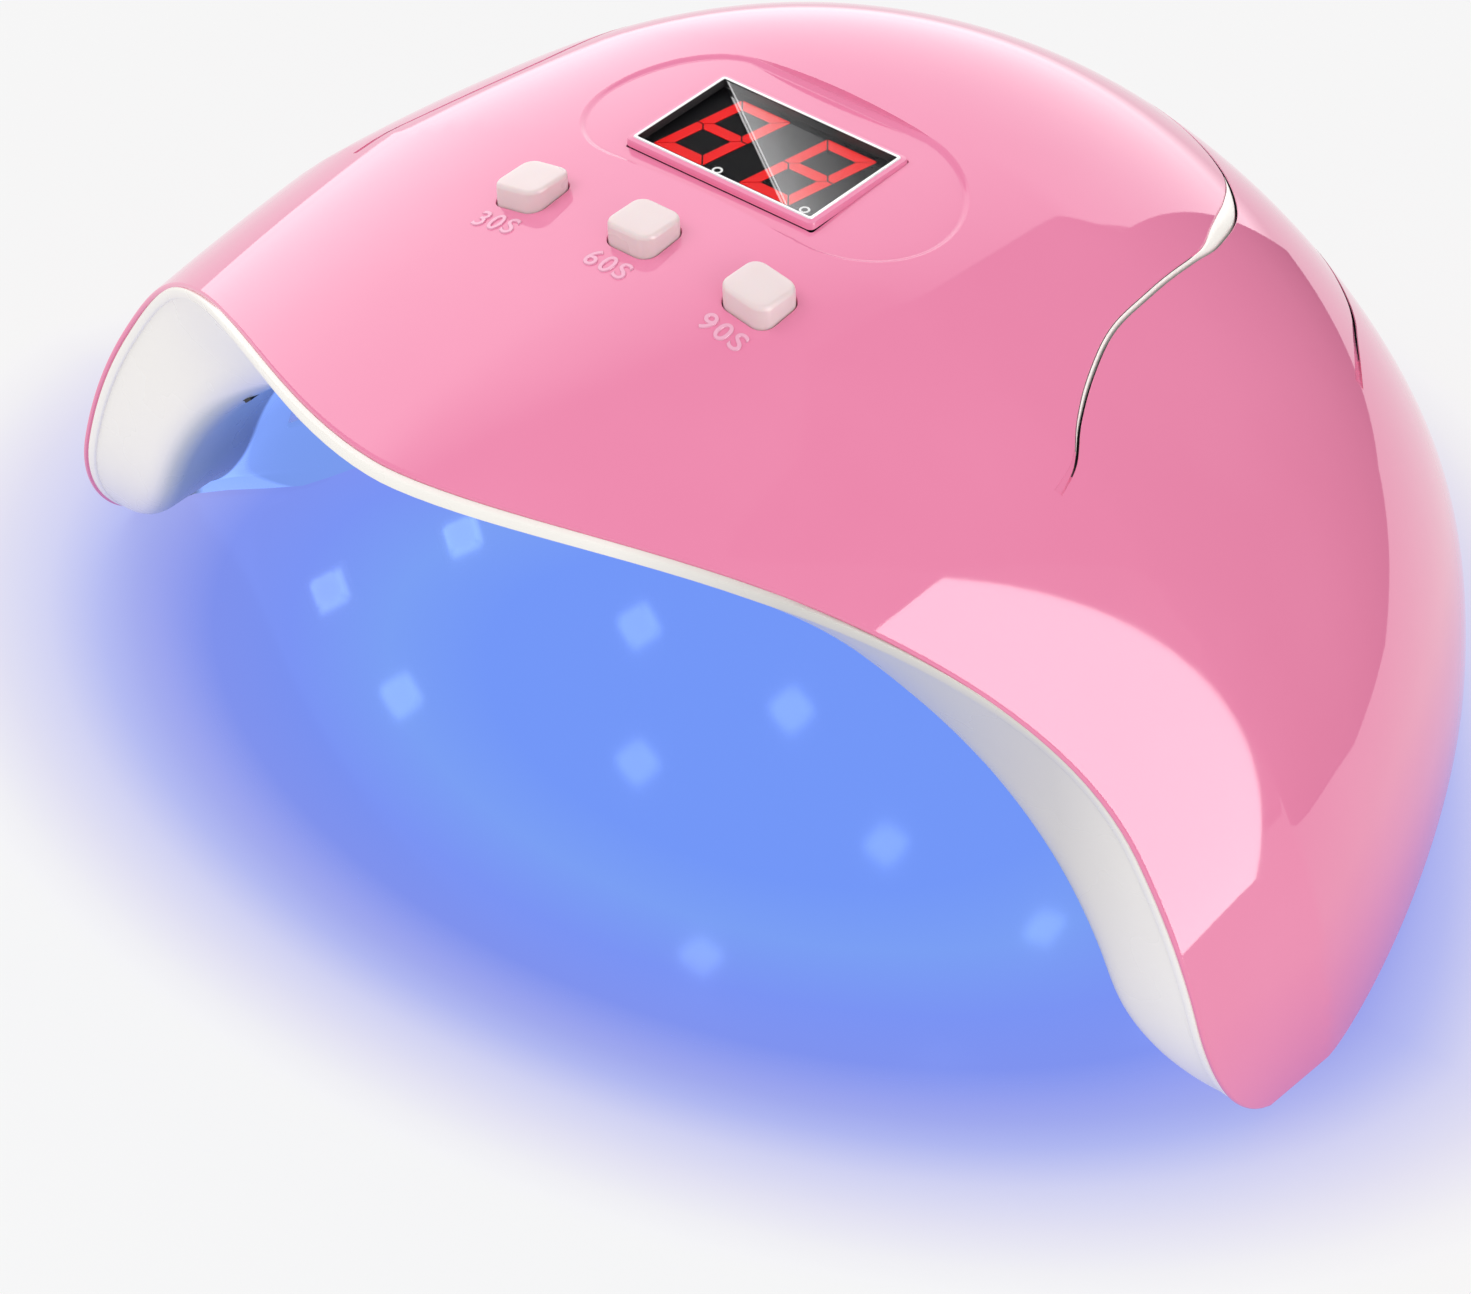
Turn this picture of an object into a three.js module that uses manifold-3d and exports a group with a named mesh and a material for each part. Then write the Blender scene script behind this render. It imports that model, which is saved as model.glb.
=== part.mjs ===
// UV LED nail lamp: a pink dome shell over a white reflector with an arched mouth, millimetres, +Z up.
// The origin is on the table under the middle of the lamp, +Y points to its back, and the mouth faces -Y.
import * as THREE from "three";
import { mergeVertices } from "three/addons/utils/BufferGeometryUtils.js";
import Module from "manifold-3d";

const wasm = await Module();
wasm.setup();

// ---------- driving dimensions ----------
const WIDTH = 207.6; // across the two front legs
const DEPTH = 185.4; // brim tip to tail
const CROWN = 94.5; // height of the dome's highest line
const LIFT = 0.5; // how far the rubber feet hold the shell off the table
const WALL = 2.4; // shell
const SKIN = 2.0; // reflector
const GAP = 0.3; // clearance between neighbours

// ---------- dome ----------
const BACK_Y = DEPTH / 2;
const WIDEST_Y = -28.9; // the plan outline starts to narrow here
const CROWN_DROOP = 0.001224; // fall of the crown line towards the brim, per mm of distance squared
const LEG_Y = -52.6; // front of the legs
const BRIM_REACH = 37.31; // how far the brim juts out over the legs
const BRIM_FOOT_Z = 42; // the leg's straight front ends here and the brim starts
const BRIM_TIP_Z = 84;
const TOE_Z = 20; // the leg's front rounds back below this height
const TOE_BACK = 14;

// ---------- hand cavity ----------
const MOUTH_HALF = 88;
const CAVITY_TOP = 64;
const CAVITY_TOP_Y = -10;
const CAVITY_BACK_Y = 70;
const LINER_BASE_Z = 1.0;
const FLANGE_Z = 2.6;
const FLANGE = 2.0;
const LIP_PROUD = 1.6; // the reflector's lip shows this much in front of the brim
// The foot of each front leg curves outwards, away from the hand, from height z down.
const FOOT = { z: 18.5, radius: 16, reach: 11.1, full: -38, end: -22 };

// ---------- control panel ----------
const PANEL_Y = -16.3; // middle of the oval panel
const PANEL = { length: 57.6, width: 27, depth: 0.5 };
const DISPLAY = { width: 30, depth: 17.5, y: -17.4, lens: 1.2, lensTop: 93.4, frame: 0.9 };
const BUTTON = { y: -41.6, pitch: 19.66, side: 7.8, corner: 2, proud: 3, travel: 0.6, flange: 1.2 };
const BUTTON_NAMES = ["30s", "60s", "90s"];
const BOARD = { halfWidth: 36, front: -50, back: -2, top: 78.5, thick: 1.6 };
const BOARD_POSTS = [[-32, -46], [32, -46], [-32, -6], [32, -6]];
const SWITCH = { side: 6, height: 3.5, plunger: 1.4 };

// ---------- lamps, socket, fixings ----------
const BEAD = { side: 8, depth: 4.6, lensRadius: 2.6, recess: 0.4 };
const STRIP = { lift: 5.6, thick: 1.0, width: 11 };
// Each row holds the lamps of one strip on the right half, as [degrees up the arch, y].
// The left half mirrors it.
const LAMP_ROWS = [
  [[15, -23], [31, -20], [74, -12]],
  [[14, -2], [50, 4]],
  [[34, 15.5], [54, 26], [77, 21]],
  [[70, 46]],
];
const SENSOR = { y: -47.2, degrees: 142, length: 4.4, width: 1.6, body: 8 };
const JACK = {
  z: 14, back: 86.3, barrel: 4.2, bore: 3.2, pin: 1.0, front: 73.6,
  boreDepth: 9.5, pinShort: 4.4,
};
const POSTS = [[-80.5, 12], [80.5, 12], [-59, 44], [59, 44]]; // case screws
const PADS = [[-93, -18.5], [93, -18.5], [-46, 62], [46, 62]]; // rubber feet
const SCREW = { head: 2.7, headHeight: 1.5, shank: 1.4, reach: 9 };
const PAD = { radius: 4.8, thick: FLANGE_Z - GAP };

// ---------- mesh resolution ----------
const ARCH_STEPS = 42;
const SHELL_ROWS = 15;
const CAVITY_ROWS = 18;
const FLARE_ROWS = 3;

const PINK = new THREE.MeshStandardMaterial({ color: 0xf092b8, roughness: 0.18, metalness: 0 });
const WHITE = new THREE.MeshStandardMaterial({ color: 0xefebec, roughness: 0.35, metalness: 0 });
const CREAM = new THREE.MeshStandardMaterial({ color: 0xe9d6d6, roughness: 0.3, metalness: 0 });
const SILVER = new THREE.MeshStandardMaterial({ color: 0xd8d8da, roughness: 0.25, metalness: 0.9 });
const SMOKE = new THREE.MeshStandardMaterial({ color: 0x141416, roughness: 0.08, metalness: 0 });
const BLACK = new THREE.MeshStandardMaterial({ color: 0x1b1b1d, roughness: 0.5, metalness: 0 });
const GREEN = new THREE.MeshStandardMaterial({ color: 0x1f6b45, roughness: 0.5, metalness: 0 });
const BLUE = new THREE.MeshStandardMaterial({ color: 0x7fa4f2, roughness: 0.15, metalness: 0 });
const STEEL = new THREE.MeshStandardMaterial({ color: 0xb9bcc0, roughness: 0.3, metalness: 1 });
const RUBBER = new THREE.MeshStandardMaterial({ color: 0xd9d4d5, roughness: 0.8, metalness: 0 });

const lamp = new THREE.Group();

// ---------- solids ----------
function solidFrom(geometry) {
  const flat = geometry.index ? geometry.toNonIndexed() : geometry;
  const bare = new THREE.BufferGeometry().setAttribute("position", flat.getAttribute("position"));
  const merged = mergeVertices(bare, 1e-4);
  const vertProperties = merged.attributes.position.array;
  const triVerts = new Uint32Array(merged.index.array);
  const solid = new wasm.Manifold(new wasm.Mesh({ numProp: 3, vertProperties, triVerts }));
  if (solid.volume() > 0) return solid;
  triVerts.reverse(); // the faces pointed inwards, as a mirrored surface's do
  return new wasm.Manifold(new wasm.Mesh({ numProp: 3, vertProperties, triVerts }));
}

function geometryFrom(solid) {
  const mesh = solid.getMesh();
  const points = new Float32Array(mesh.numVert * 3);
  for (let i = 0; i < mesh.numVert; i++) {
    points.set(mesh.vertProperties.subarray(i * mesh.numProp, i * mesh.numProp + 3), i * 3);
  }
  const geometry = new THREE.BufferGeometry();
  geometry.setAttribute("position", new THREE.BufferAttribute(points, 3));
  geometry.setIndex(new THREE.BufferAttribute(mesh.triVerts, 1));
  return geometry;
}

function add(name, solid, material) {
  const geometry = geometryFrom(solid);
  geometry.computeVertexNormals();
  const mesh = new THREE.Mesh(geometry, material);
  mesh.name = name;
  lamp.add(mesh);
}

function box(low, high) {
  const size = high.map((v, i) => v - low[i]);
  const geometry = new THREE.BoxGeometry(...size);
  geometry.translate(...low.map((v, i) => v + size[i] / 2));
  return solidFrom(geometry);
}

// An upright cylinder from z = low to z = high.
function post(x, y, radius, low, high, sides = 20) {
  const geometry = new THREE.CylinderGeometry(radius, radius, high - low, sides);
  geometry.rotateX(Math.PI / 2);
  geometry.translate(x, y, (low + high) / 2);
  return solidFrom(geometry);
}

// A cylinder along Y.
function barrel(x, z, radius, front, back, sides = 24) {
  const geometry = new THREE.CylinderGeometry(radius, radius, back - front, sides);
  geometry.translate(x, (front + back) / 2, z);
  return solidFrom(geometry);
}

function roundedRectangle(width, height, corner) {
  const shape = new THREE.Shape();
  const w = width / 2;
  const h = height / 2;
  shape.moveTo(-w + corner, -h);
  shape.lineTo(w - corner, -h);
  shape.absarc(w - corner, -h + corner, corner, -Math.PI / 2, 0);
  shape.lineTo(w, h - corner);
  shape.absarc(w - corner, h - corner, corner, 0, Math.PI / 2);
  shape.lineTo(-w + corner, h);
  shape.absarc(-w + corner, h - corner, corner, Math.PI / 2, Math.PI);
  shape.lineTo(-w, -h + corner);
  shape.absarc(-w + corner, -h + corner, corner, Math.PI, 1.5 * Math.PI);
  return shape;
}

function prism(shape, low, high, curveSegments = 4) {
  const geometry = new THREE.ExtrudeGeometry(shape, {
    depth: high - low,
    bevelEnabled: false,
    curveSegments,
  });
  geometry.translate(0, 0, low);
  return solidFrom(geometry);
}

// Closes two matching grids of points, rows of columns, into one body.
// Row 0 is an open rim, the first and last columns are the two long edges, and the last row may be a point.
function sheet(outside, inside) {
  const positions = [];
  const same = (a, b) => a.distanceToSquared(b) < 1e-10;
  const triangle = (a, b, c) => {
    if (!same(a, b) && !same(b, c) && !same(c, a)) positions.push(...a, ...b, ...c);
  };
  const quad = (a, b, c, d) => {
    triangle(a, b, c);
    triangle(a, c, d);
  };
  const rows = outside.length - 1;
  const columns = outside[0].length - 1;
  for (let j = 0; j < rows; j++) {
    for (let i = 0; i < columns; i++) {
      quad(outside[j][i], outside[j + 1][i], outside[j + 1][i + 1], outside[j][i + 1]);
      quad(inside[j][i], inside[j][i + 1], inside[j + 1][i + 1], inside[j + 1][i]);
    }
    quad(inside[j][0], inside[j + 1][0], outside[j + 1][0], outside[j][0]);
    quad(outside[j][columns], outside[j + 1][columns], inside[j + 1][columns], inside[j][columns]);
  }
  for (const [j, turned] of [[0, false], [rows, true]]) {
    for (let i = 0; i < columns; i++) {
      const ends = [inside[j][i], outside[j][i], outside[j][i + 1], inside[j][i + 1]];
      quad(...(turned ? ends.reverse() : ends));
    }
  }
  const geometry = new THREE.BufferGeometry();
  geometry.setAttribute("position", new THREE.Float32BufferAttribute(positions, 3));
  return solidFrom(geometry);
}

function grid(rows, columns, point) {
  return Array.from({ length: rows + 1 }, (_, j) =>
    Array.from({ length: columns + 1 }, (_, i) => point(i / columns, j / rows)),
  );
}

// ---------- the dome's surface ----------
// Every surface here is a stack of arches across the lamp.
// The arches are superellipses whose half width and height follow y.
function arch(angle, halfWidth, height, base, roundness) {
  const c = Math.cos(angle);
  const s = Math.max(Math.sin(angle), 0);
  const power = 2 / roundness;
  return [Math.sign(c) * halfWidth * Math.abs(c) ** power, base + (height - base) * s ** power];
}

// The columns of the shell and the reflector stand closer together near the feet.
function archAngle(across) {
  return Math.PI * across - 0.25 * Math.sin(2 * Math.PI * across);
}

// How far along its narrowing the plan outline is, and what is left of its width.
function narrowing(y, back) {
  const u = Math.min(Math.max((y - WIDEST_Y) / (back - WIDEST_Y), 0), 1);
  return (1 - u ** 1.2) ** (1 / 2.12);
}

function domeHalfWidth(y, inset) {
  return (WIDTH / 2 - inset) * narrowing(y, BACK_Y - inset);
}

function domeHeight(y, inset) {
  if (y <= 0) return CROWN - inset - CROWN_DROOP * y * y;
  const u = Math.min(y / (BACK_Y - inset), 1);
  return (CROWN - inset) * (1 - u * u) ** (1 / 1.2);
}

function domePoint(angle, y, inset = 0, base = LIFT) {
  const roundness = 2.01 - 0.31 * (y / 100) ** 2;
  const height = Math.max(domeHeight(y, inset), base);
  const [x, z] = arch(angle, domeHalfWidth(y, inset), height, base, roundness);
  return new THREE.Vector3(x, y, z);
}

// Height of the dome over a point of the table.
function domeZ(x, y, inset = 0) {
  const roundness = 2.01 - 0.31 * (y / 100) ** 2;
  const share = Math.min(Math.abs(x) / domeHalfWidth(y, inset), 1);
  return domeHeight(y, inset) * (1 - share ** roundness) ** (1 / roundness);
}

function toe(z) {
  const below = Math.max(1 - z / TOE_Z, 0);
  return TOE_BACK * (1 - Math.sqrt(1 - below * below));
}

// The front edge seen from the side: toe, straight leg, and the brim sweeping forward.
function frontEdge(z) {
  const s = Math.max((z - BRIM_FOOT_Z) / (BRIM_TIP_Z - BRIM_FOOT_Z), 0);
  return LEG_Y + toe(z) - BRIM_REACH * (0.75 * s ** 2.05 + 0.25 * s ** 9);
}

// The y at which the arch line of this angle meets the front edge.
function edgeY(angle) {
  let low = -110;
  let high = -40;
  for (let i = 0; i < 40; i++) {
    const y = (low + high) / 2;
    if (y < frontEdge(domePoint(angle, y).z)) low = y;
    else high = y;
  }
  return high;
}

function shellSide(inset) {
  return grid(SHELL_ROWS, ARCH_STEPS, (across, along) => {
    const angle = archAngle(across);
    const start = edgeY(angle);
    const y = start + (BACK_Y - inset - start) * Math.sin((Math.PI / 2) * along);
    return domePoint(angle, y, inset);
  });
}

// The dome filled solid, with a front face far ahead of the brim, for trimming what must follow it.
function domeCore(inset) {
  const side = grid(SHELL_ROWS, ARCH_STEPS, (across, along) => {
    const y = -100 + (BACK_Y - inset + 100) * Math.sin((Math.PI / 2) * along);
    return domePoint(Math.PI * across, y, inset, -5);
  });
  const floor = side.map((row) => row.map((p) => new THREE.Vector3(p.x, p.y, -5)));
  return sheet(side, floor);
}

// ---------- the cavity's surface ----------
// How far the foot of a leg has curved outwards at this height.
function footReach(y, z) {
  const fade = THREE.MathUtils.smoothstep(-y, -FOOT.end, -FOOT.full);
  const below = Math.min(Math.max(FOOT.z - z, 0), FOOT.radius);
  const curve = FOOT.radius - Math.sqrt(FOOT.radius * FOOT.radius - below * below);
  return fade * Math.min(curve, FOOT.reach);
}

// Offset 0 is the reflector's visible face; a positive offset moves out towards the shell.
function cavityPoint(angle, y, offset = 0, base = LINER_BASE_Z) {
  const half = (MOUTH_HALF + offset) * narrowing(y, CAVITY_BACK_Y + offset);
  const fall = y > CAVITY_TOP_Y
    ? (y - CAVITY_TOP_Y) / (CAVITY_BACK_Y + offset - CAVITY_TOP_Y)
    : (CAVITY_TOP_Y - y) / 160;
  const height = (CAVITY_TOP + offset) * Math.sqrt(Math.max(1 - fall * fall, 0));
  const [x, z] = arch(angle, half, Math.max(height, base), base, 2);
  return new THREE.Vector3(x + Math.sign(x) * footReach(y, z), y, z);
}

function cavityNormal(angle, y) {
  const step = 0.01;
  const across = cavityPoint(angle + step, y).sub(cavityPoint(angle - step, y));
  const along = cavityPoint(angle, y + step).sub(cavityPoint(angle, y - step));
  return along.cross(across).normalize();
}

function mouthPoint(angle, offset) {
  const onLeg = cavityPoint(angle, LEG_Y, offset);
  return cavityPoint(angle, LEG_Y + toe(onLeg.z) + offset, offset);
}

function lipPoint(angle, offset) {
  const inset = WALL + GAP + SKIN - offset;
  const start = edgeY(angle);
  const brim = Math.min(Math.max((LEG_Y - start) / 20, 0), 1);
  return domePoint(angle, start - LIP_PROUD * brim, inset, LINER_BASE_Z);
}

function linerSide(offset) {
  const flare = grid(FLARE_ROWS, ARCH_STEPS, (across, along) => {
    const angle = archAngle(across);
    return lipPoint(angle, offset).lerp(mouthPoint(angle, offset), along);
  });
  const cavity = grid(CAVITY_ROWS, ARCH_STEPS, (across, along) => {
    const angle = archAngle(across);
    const start = mouthPoint(angle, offset).y;
    const end = CAVITY_BACK_Y + offset;
    return cavityPoint(angle, start + (end - start) * Math.sin((Math.PI / 2) * along), offset);
  });
  return [...flare, ...cavity.slice(1)];
}

// The reflector's flat flange, a horseshoe between the cavity wall and the shell.
function flangePlate() {
  const outer = [];
  const inner = [];
  const count = 20;
  const front = FOOT.end - 3;
  const z = FLANGE_Z + FLANGE;
  for (let i = 0; i <= count; i++) {
    const share = Math.sin((Math.PI / 2) * (i / count));
    const inset = WALL + GAP;
    const reach = inset + 1.9; // the dome has drawn in this much at the flange's height at the tail
    const y = front + (BACK_Y - reach - front) * share;
    const narrow = (1 - Math.min(z / domeHeight(y, inset), 1) ** 2) ** 0.5;
    outer.push(new THREE.Vector2(domeHalfWidth(y, inset) * narrow - 0.9, y));
    const inside = front + (CAVITY_BACK_Y + SKIN / 2 - front) * share;
    const wall = (MOUTH_HALF + SKIN / 2) * narrowing(inside, CAVITY_BACK_Y + SKIN / 2);
    inner.push(new THREE.Vector2(wall + footReach(inside, z), inside));
  }
  outer[count].x = 0;
  inner[count].x = 0;
  const half = [...outer, ...inner.reverse()];
  const right = prism(new THREE.Shape(half), FLANGE_Z, z);
  const mirrored = half.map((p) => new THREE.Vector2(-p.x, p.y)).reverse();
  return right.add(prism(new THREE.Shape(mirrored), FLANGE_Z, z));
}

// ---------- shoulder creases ----------
// Each crease is a line on the dome, given as table positions of a few points that it passes through.
const UPPER_CREASE = [[62, -32.7], [60.5, -28], [57, -22.7], [53.4, -15.6], [50.4, -7.4], [48.8, 2.8],
  [46.9, 13.7], [44.8, 21.9], [39.2, 32.7], [29, 42], [15, 48.5], [0, 51]];
const LOWER_CREASE = [[60.5, 33.3], [53.9, 40.9], [44.9, 50.9], [31, 61], [15.5, 67.3], [0, 69.5]];
const ACCENT = { from: 0.53, to: 0.8, width: 1.7, depth: 1.1 };
const CREASE = { width: 0.6, depth: 0.9 };

// A band that follows a crease between two depths under the dome; its edges are given along the line.
function creaseBand(curve, side, from, to, steps, edges, top, bottom) {
  const layer = (inset) =>
    grid(steps, 1, (across, along) => {
      const share = from + (to - from) * along;
      const p = curve.getPoint(share);
      const t = curve.getTangent(share);
      const [low, high] = edges(along);
      const shift = low + (high - low) * across;
      const x = p.x - t.y * shift;
      const y = p.y + t.x * shift;
      return new THREE.Vector3(side * x, y, domeZ(x, y, 0) - inset);
    });
  return sheet(layer(top), layer(bottom));
}

const upperCurve = new THREE.CatmullRomCurve3(UPPER_CREASE.map(([x, y]) => new THREE.Vector3(x, y, 0)));
const lowerCurve = new THREE.CatmullRomCurve3(LOWER_CREASE.map(([x, y]) => new THREE.Vector3(x, y, 0)));

// The crescent lies along the inner side of the upper crease.
function crescent(side, clearance, top, bottom) {
  const span = clearance * 0.008;
  const edges = (along) => {
    const width = ACCENT.width * Math.sin(Math.PI * (0.1 + 0.8 * along));
    return [-clearance, width + clearance];
  };
  return creaseBand(upperCurve, side, ACCENT.from - span, ACCENT.to + span, 12, edges, top, bottom);
}

// ---------- top shell ----------
function makeShell() {
  let shell = sheet(shellSide(0), shellSide(WALL));
  const joined = [];
  for (const [x, y] of POSTS) {
    joined.push(post(x, y, 4, FLANGE_Z + FLANGE + GAP, 45));
  }
  for (const [x, y] of BOARD_POSTS) {
    joined.push(post(x, y, 3.2, BOARD.top + GAP, CROWN));
  }
  joined.push(barrel(0, JACK.z, 8, 80.5, BACK_Y));
  const core = domeCore(WALL / 2);
  for (const piece of joined) {
    shell = shell.add(piece.intersect(core));
  }
  const panelShape = roundedRectangle(PANEL.length, PANEL.width, PANEL.width / 2 - 0.01);
  const panel = prism(panelShape, 80, 100, 10).translate([0, PANEL_Y, 0]);
  shell = shell.subtract(panel.subtract(domeCore(PANEL.depth)));
  const cuts = [
    box(
      [-DISPLAY.width / 2 - DISPLAY.frame - GAP, DISPLAY.y - DISPLAY.depth / 2 - DISPLAY.frame - GAP, 80],
      [DISPLAY.width / 2 + DISPLAY.frame + GAP, DISPLAY.y + DISPLAY.depth / 2 + DISPLAY.frame + GAP, 100],
    ),
    barrel(0, JACK.z, JACK.barrel + GAP, 70, BACK_Y + 5),
    box([-7.4, 70, JACK.z - 6.4], [7.4, 83.7, JACK.z + 6.4]),
  ];
  const opening = roundedRectangle(BUTTON.side + 2 * GAP, BUTTON.side + 2 * GAP, BUTTON.corner + GAP);
  for (const column of [-1, 0, 1]) {
    cuts.push(prism(opening, 80, 100).translate([column * BUTTON.pitch, BUTTON.y, 0]));
  }
  for (const [x, y] of POSTS) {
    cuts.push(post(x, y, SCREW.shank + 0.1, 2, FLANGE_Z + FLANGE + SCREW.reach + 1, 12));
  }
  for (const [x, y] of BOARD_POSTS) {
    cuts.push(post(x, y, SCREW.shank + 0.1, BOARD.top - 2, BOARD.top + 4.6, 12));
  }
  for (const side of [-1, 1]) {
    const edges = () => [-CREASE.width / 2, CREASE.width / 2];
    cuts.push(creaseBand(upperCurve, side, 0.02, 0.985, 24, edges, -1, CREASE.depth));
    cuts.push(creaseBand(lowerCurve, side, 0.02, 0.985, 14, edges, -1, CREASE.depth));
    cuts.push(crescent(side, GAP, -1, ACCENT.depth + GAP));
  }
  for (const cut of cuts) {
    shell = shell.subtract(cut);
  }
  return shell;
}

// ---------- lamp beads and strips ----------
// Moves a solid built around the origin, with +Z away from the cavity, on to the cavity's wall.
function seat(solid, angle, y, turn = 0) {
  const normal = cavityNormal(angle, y);
  const sideways = new THREE.Vector3(0, 1, 0).cross(normal).normalize();
  const forward = normal.clone().cross(sideways);
  const place = new THREE.Matrix4().makeBasis(sideways, forward, normal);
  place.multiply(new THREE.Matrix4().makeRotationZ(turn));
  place.setPosition(cavityPoint(angle, y));
  return solid.transform(place.elements);
}

function beadBlock(side, low, high) {
  return box([-side / 2, -side / 2, low], [side / 2, side / 2, high]);
}

// A square reflector cup with a round lens in it.
function bead() {
  const cone = new THREE.CylinderGeometry(2.9, 3.8, 1.6, 12);
  cone.rotateX(Math.PI / 2);
  cone.translate(0, 0, BEAD.recess + 0.75);
  const dome = [];
  for (let i = 0; i <= 3; i++) {
    const a = (Math.PI / 2) * (i / 3);
    dome.push(new THREE.Vector2(BEAD.lensRadius * Math.sin(a), -1.5 * Math.cos(a)));
  }
  dome.push(new THREE.Vector2(BEAD.lensRadius, 1), new THREE.Vector2(0, 1));
  const lens = new THREE.LatheGeometry(dome, 12);
  lens.rotateX(Math.PI / 2);
  lens.translate(0, 0, BEAD.recess + 1.6);
  const cup = beadBlock(BEAD.side, BEAD.recess, BEAD.depth).subtract(solidFrom(cone));
  return cup.add(solidFrom(lens));
}

// Both halves of a row, from the right foot over the top to the left foot.
function wholeRow(row) {
  return [...row, ...row.map(([degrees, y]) => [180 - degrees, y]).reverse()];
}

// A strip bends from lamp to lamp and runs a little past the last one on each side.
function lampStrip(row) {
  const margin = 8;
  const spots = wholeRow(row);
  const [first, last] = [spots[0], spots[spots.length - 1]];
  const path = [[first[0] - margin, first[1]], ...spots, [last[0] + margin, last[1]]];
  const middle = (degrees) => {
    const next = Math.max(path.findIndex(([d]) => d >= degrees - 1e-6), 1);
    const [[d0, y0], [d1, y1]] = [path[next - 1], path[next]];
    return y0 + (y1 - y0) * THREE.MathUtils.smoothstep(degrees, d0, d1);
  };
  const layer = (offset) =>
    grid(24, 1, (across, along) => {
      const degrees = last[0] + margin + (first[0] - last[0] - 2 * margin) * along;
      const y = middle(degrees) + (across - 0.5) * STRIP.width;
      return cavityPoint(THREE.MathUtils.degToRad(degrees), y, offset);
    });
  return sheet(layer(STRIP.lift + STRIP.thick), layer(STRIP.lift));
}

function makeLiner() {
  let liner = sheet(linerSide(SKIN), linerSide(0)).add(flangePlate());
  const hole = beadBlock(BEAD.side + 2 * GAP, -4, 4);
  for (const [degrees, y] of LAMP_ROWS.flatMap(wholeRow)) {
    liner = liner.subtract(seat(hole, THREE.MathUtils.degToRad(degrees), y));
  }
  const slot = box(
    [-SENSOR.width / 2 - GAP, -SENSOR.length / 2 - GAP, -4],
    [SENSOR.width / 2 + GAP, SENSOR.length / 2 + GAP, 4],
  );
  liner = liner.subtract(seat(slot, THREE.MathUtils.degToRad(SENSOR.degrees), SENSOR.y));
  for (const [x, y] of POSTS) {
    liner = liner.subtract(post(x, y, SCREW.shank + GAP, 0, 8, 12));
  }
  return liner;
}

// ---------- small parts ----------
function screw(x, y, under, reach) {
  const head = post(x, y, SCREW.head, under - SCREW.headHeight, under, 16);
  const shank = post(x, y, SCREW.shank, under - 0.2, under + reach, 12);
  const slot = box([x - 2, y - 0.3, under - 3], [x + 2, y + 0.3, under - SCREW.headHeight + 0.5]);
  return head.add(shank).subtract(slot);
}

function makeButton(x) {
  const corners = [-1, 1].flatMap((a) => [-1, 1].map((b) => [x + a * 6, BUTTON.y + b * 6]));
  const ceiling = Math.min(...corners.map(([cx, cy]) => domeZ(cx, cy, WALL)));
  const top = domeZ(x, BUTTON.y) + BUTTON.proud;
  const under = ceiling - GAP - BUTTON.flange;
  const lean = Math.atan2(domeZ(x + 1, BUTTON.y) - domeZ(x - 1, BUTTON.y), 2);
  const capShape = roundedRectangle(BUTTON.side, BUTTON.side, BUTTON.corner);
  const flangeShape = roundedRectangle(BUTTON.side + 2.6, BUTTON.side + 2.6, BUTTON.corner);
  let cap = prism(capShape, under, top + 2);
  const above = box([-8, -8, 0], [8, 8, 8]).rotate([0, -THREE.MathUtils.radToDeg(lean), 0]);
  cap = cap.subtract(above.translate([0, 0, top]));
  cap = cap.add(prism(flangeShape, under, under + BUTTON.flange));
  const stemEnd = BOARD.top + GAP + SWITCH.height + SWITCH.plunger + BUTTON.travel + 0.1;
  cap = cap.add(post(0, 0, 1.8, stemEnd, under + 0.5, 16));
  return cap.translate([x, BUTTON.y, 0]);
}

function makeSwitch(x) {
  const half = SWITCH.side / 2;
  const base = BOARD.top + GAP;
  const body = box([x - half, BUTTON.y - half, base], [x + half, BUTTON.y + half, base + SWITCH.height]);
  return body.add(post(x, BUTTON.y, 1.6, base + 1, base + SWITCH.height + SWITCH.plunger, 16));
}

function makeBoard() {
  let board = box(
    [-BOARD.halfWidth, BOARD.front, BOARD.top - BOARD.thick],
    [BOARD.halfWidth, BOARD.back, BOARD.top],
  );
  for (const [x, y] of BOARD_POSTS) {
    board = board.subtract(post(x, y, SCREW.shank + GAP, BOARD.top - 5, BOARD.top + 5, 12));
  }
  return board;
}

function frameAround(width, depth, border, low, high) {
  const outer = roundedRectangle(width + 2 * border, depth + 2 * border, 0.6);
  outer.holes.push(roundedRectangle(width, depth, 0.2));
  return prism(outer, low, high, 2);
}

function makeJack() {
  const body = box([-7, JACK.front, JACK.z - 6], [7, 83.3, JACK.z + 6]);
  const nose = barrel(0, JACK.z, JACK.barrel, 80, JACK.back, 28);
  const bore = barrel(0, JACK.z, JACK.bore, JACK.back - JACK.boreDepth, JACK.back + 1, 24);
  const pin = barrel(0, JACK.z, JACK.pin, JACK.back - JACK.boreDepth - 1, JACK.back - JACK.pinShort, 12);
  return body.add(nose).subtract(bore).add(pin);
}

function makeLead() {
  const route = new THREE.CatmullRomCurve3(
    [
      [0, 78.6, 20.6], [0.3, 78.4, 23], [3, 76, 28], [7, 70, 35.5], [10, 62, 43.5], [12, 50, 57.5],
      [13, 36, 68.5], [13, 22, 75.5], [13, 10, 79.2], [13, 2.2, 80.6], [13, -2.7, 80.8],
    ].map((p) => new THREE.Vector3(...p)),
  );
  const section = new THREE.Shape();
  section.absarc(0, 0, 1.4, 0, 2 * Math.PI);
  const geometry = new THREE.ExtrudeGeometry(section, {
    steps: 30,
    extrudePath: route,
    bevelEnabled: false,
    curveSegments: 4,
  });
  return solidFrom(geometry);
}

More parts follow.
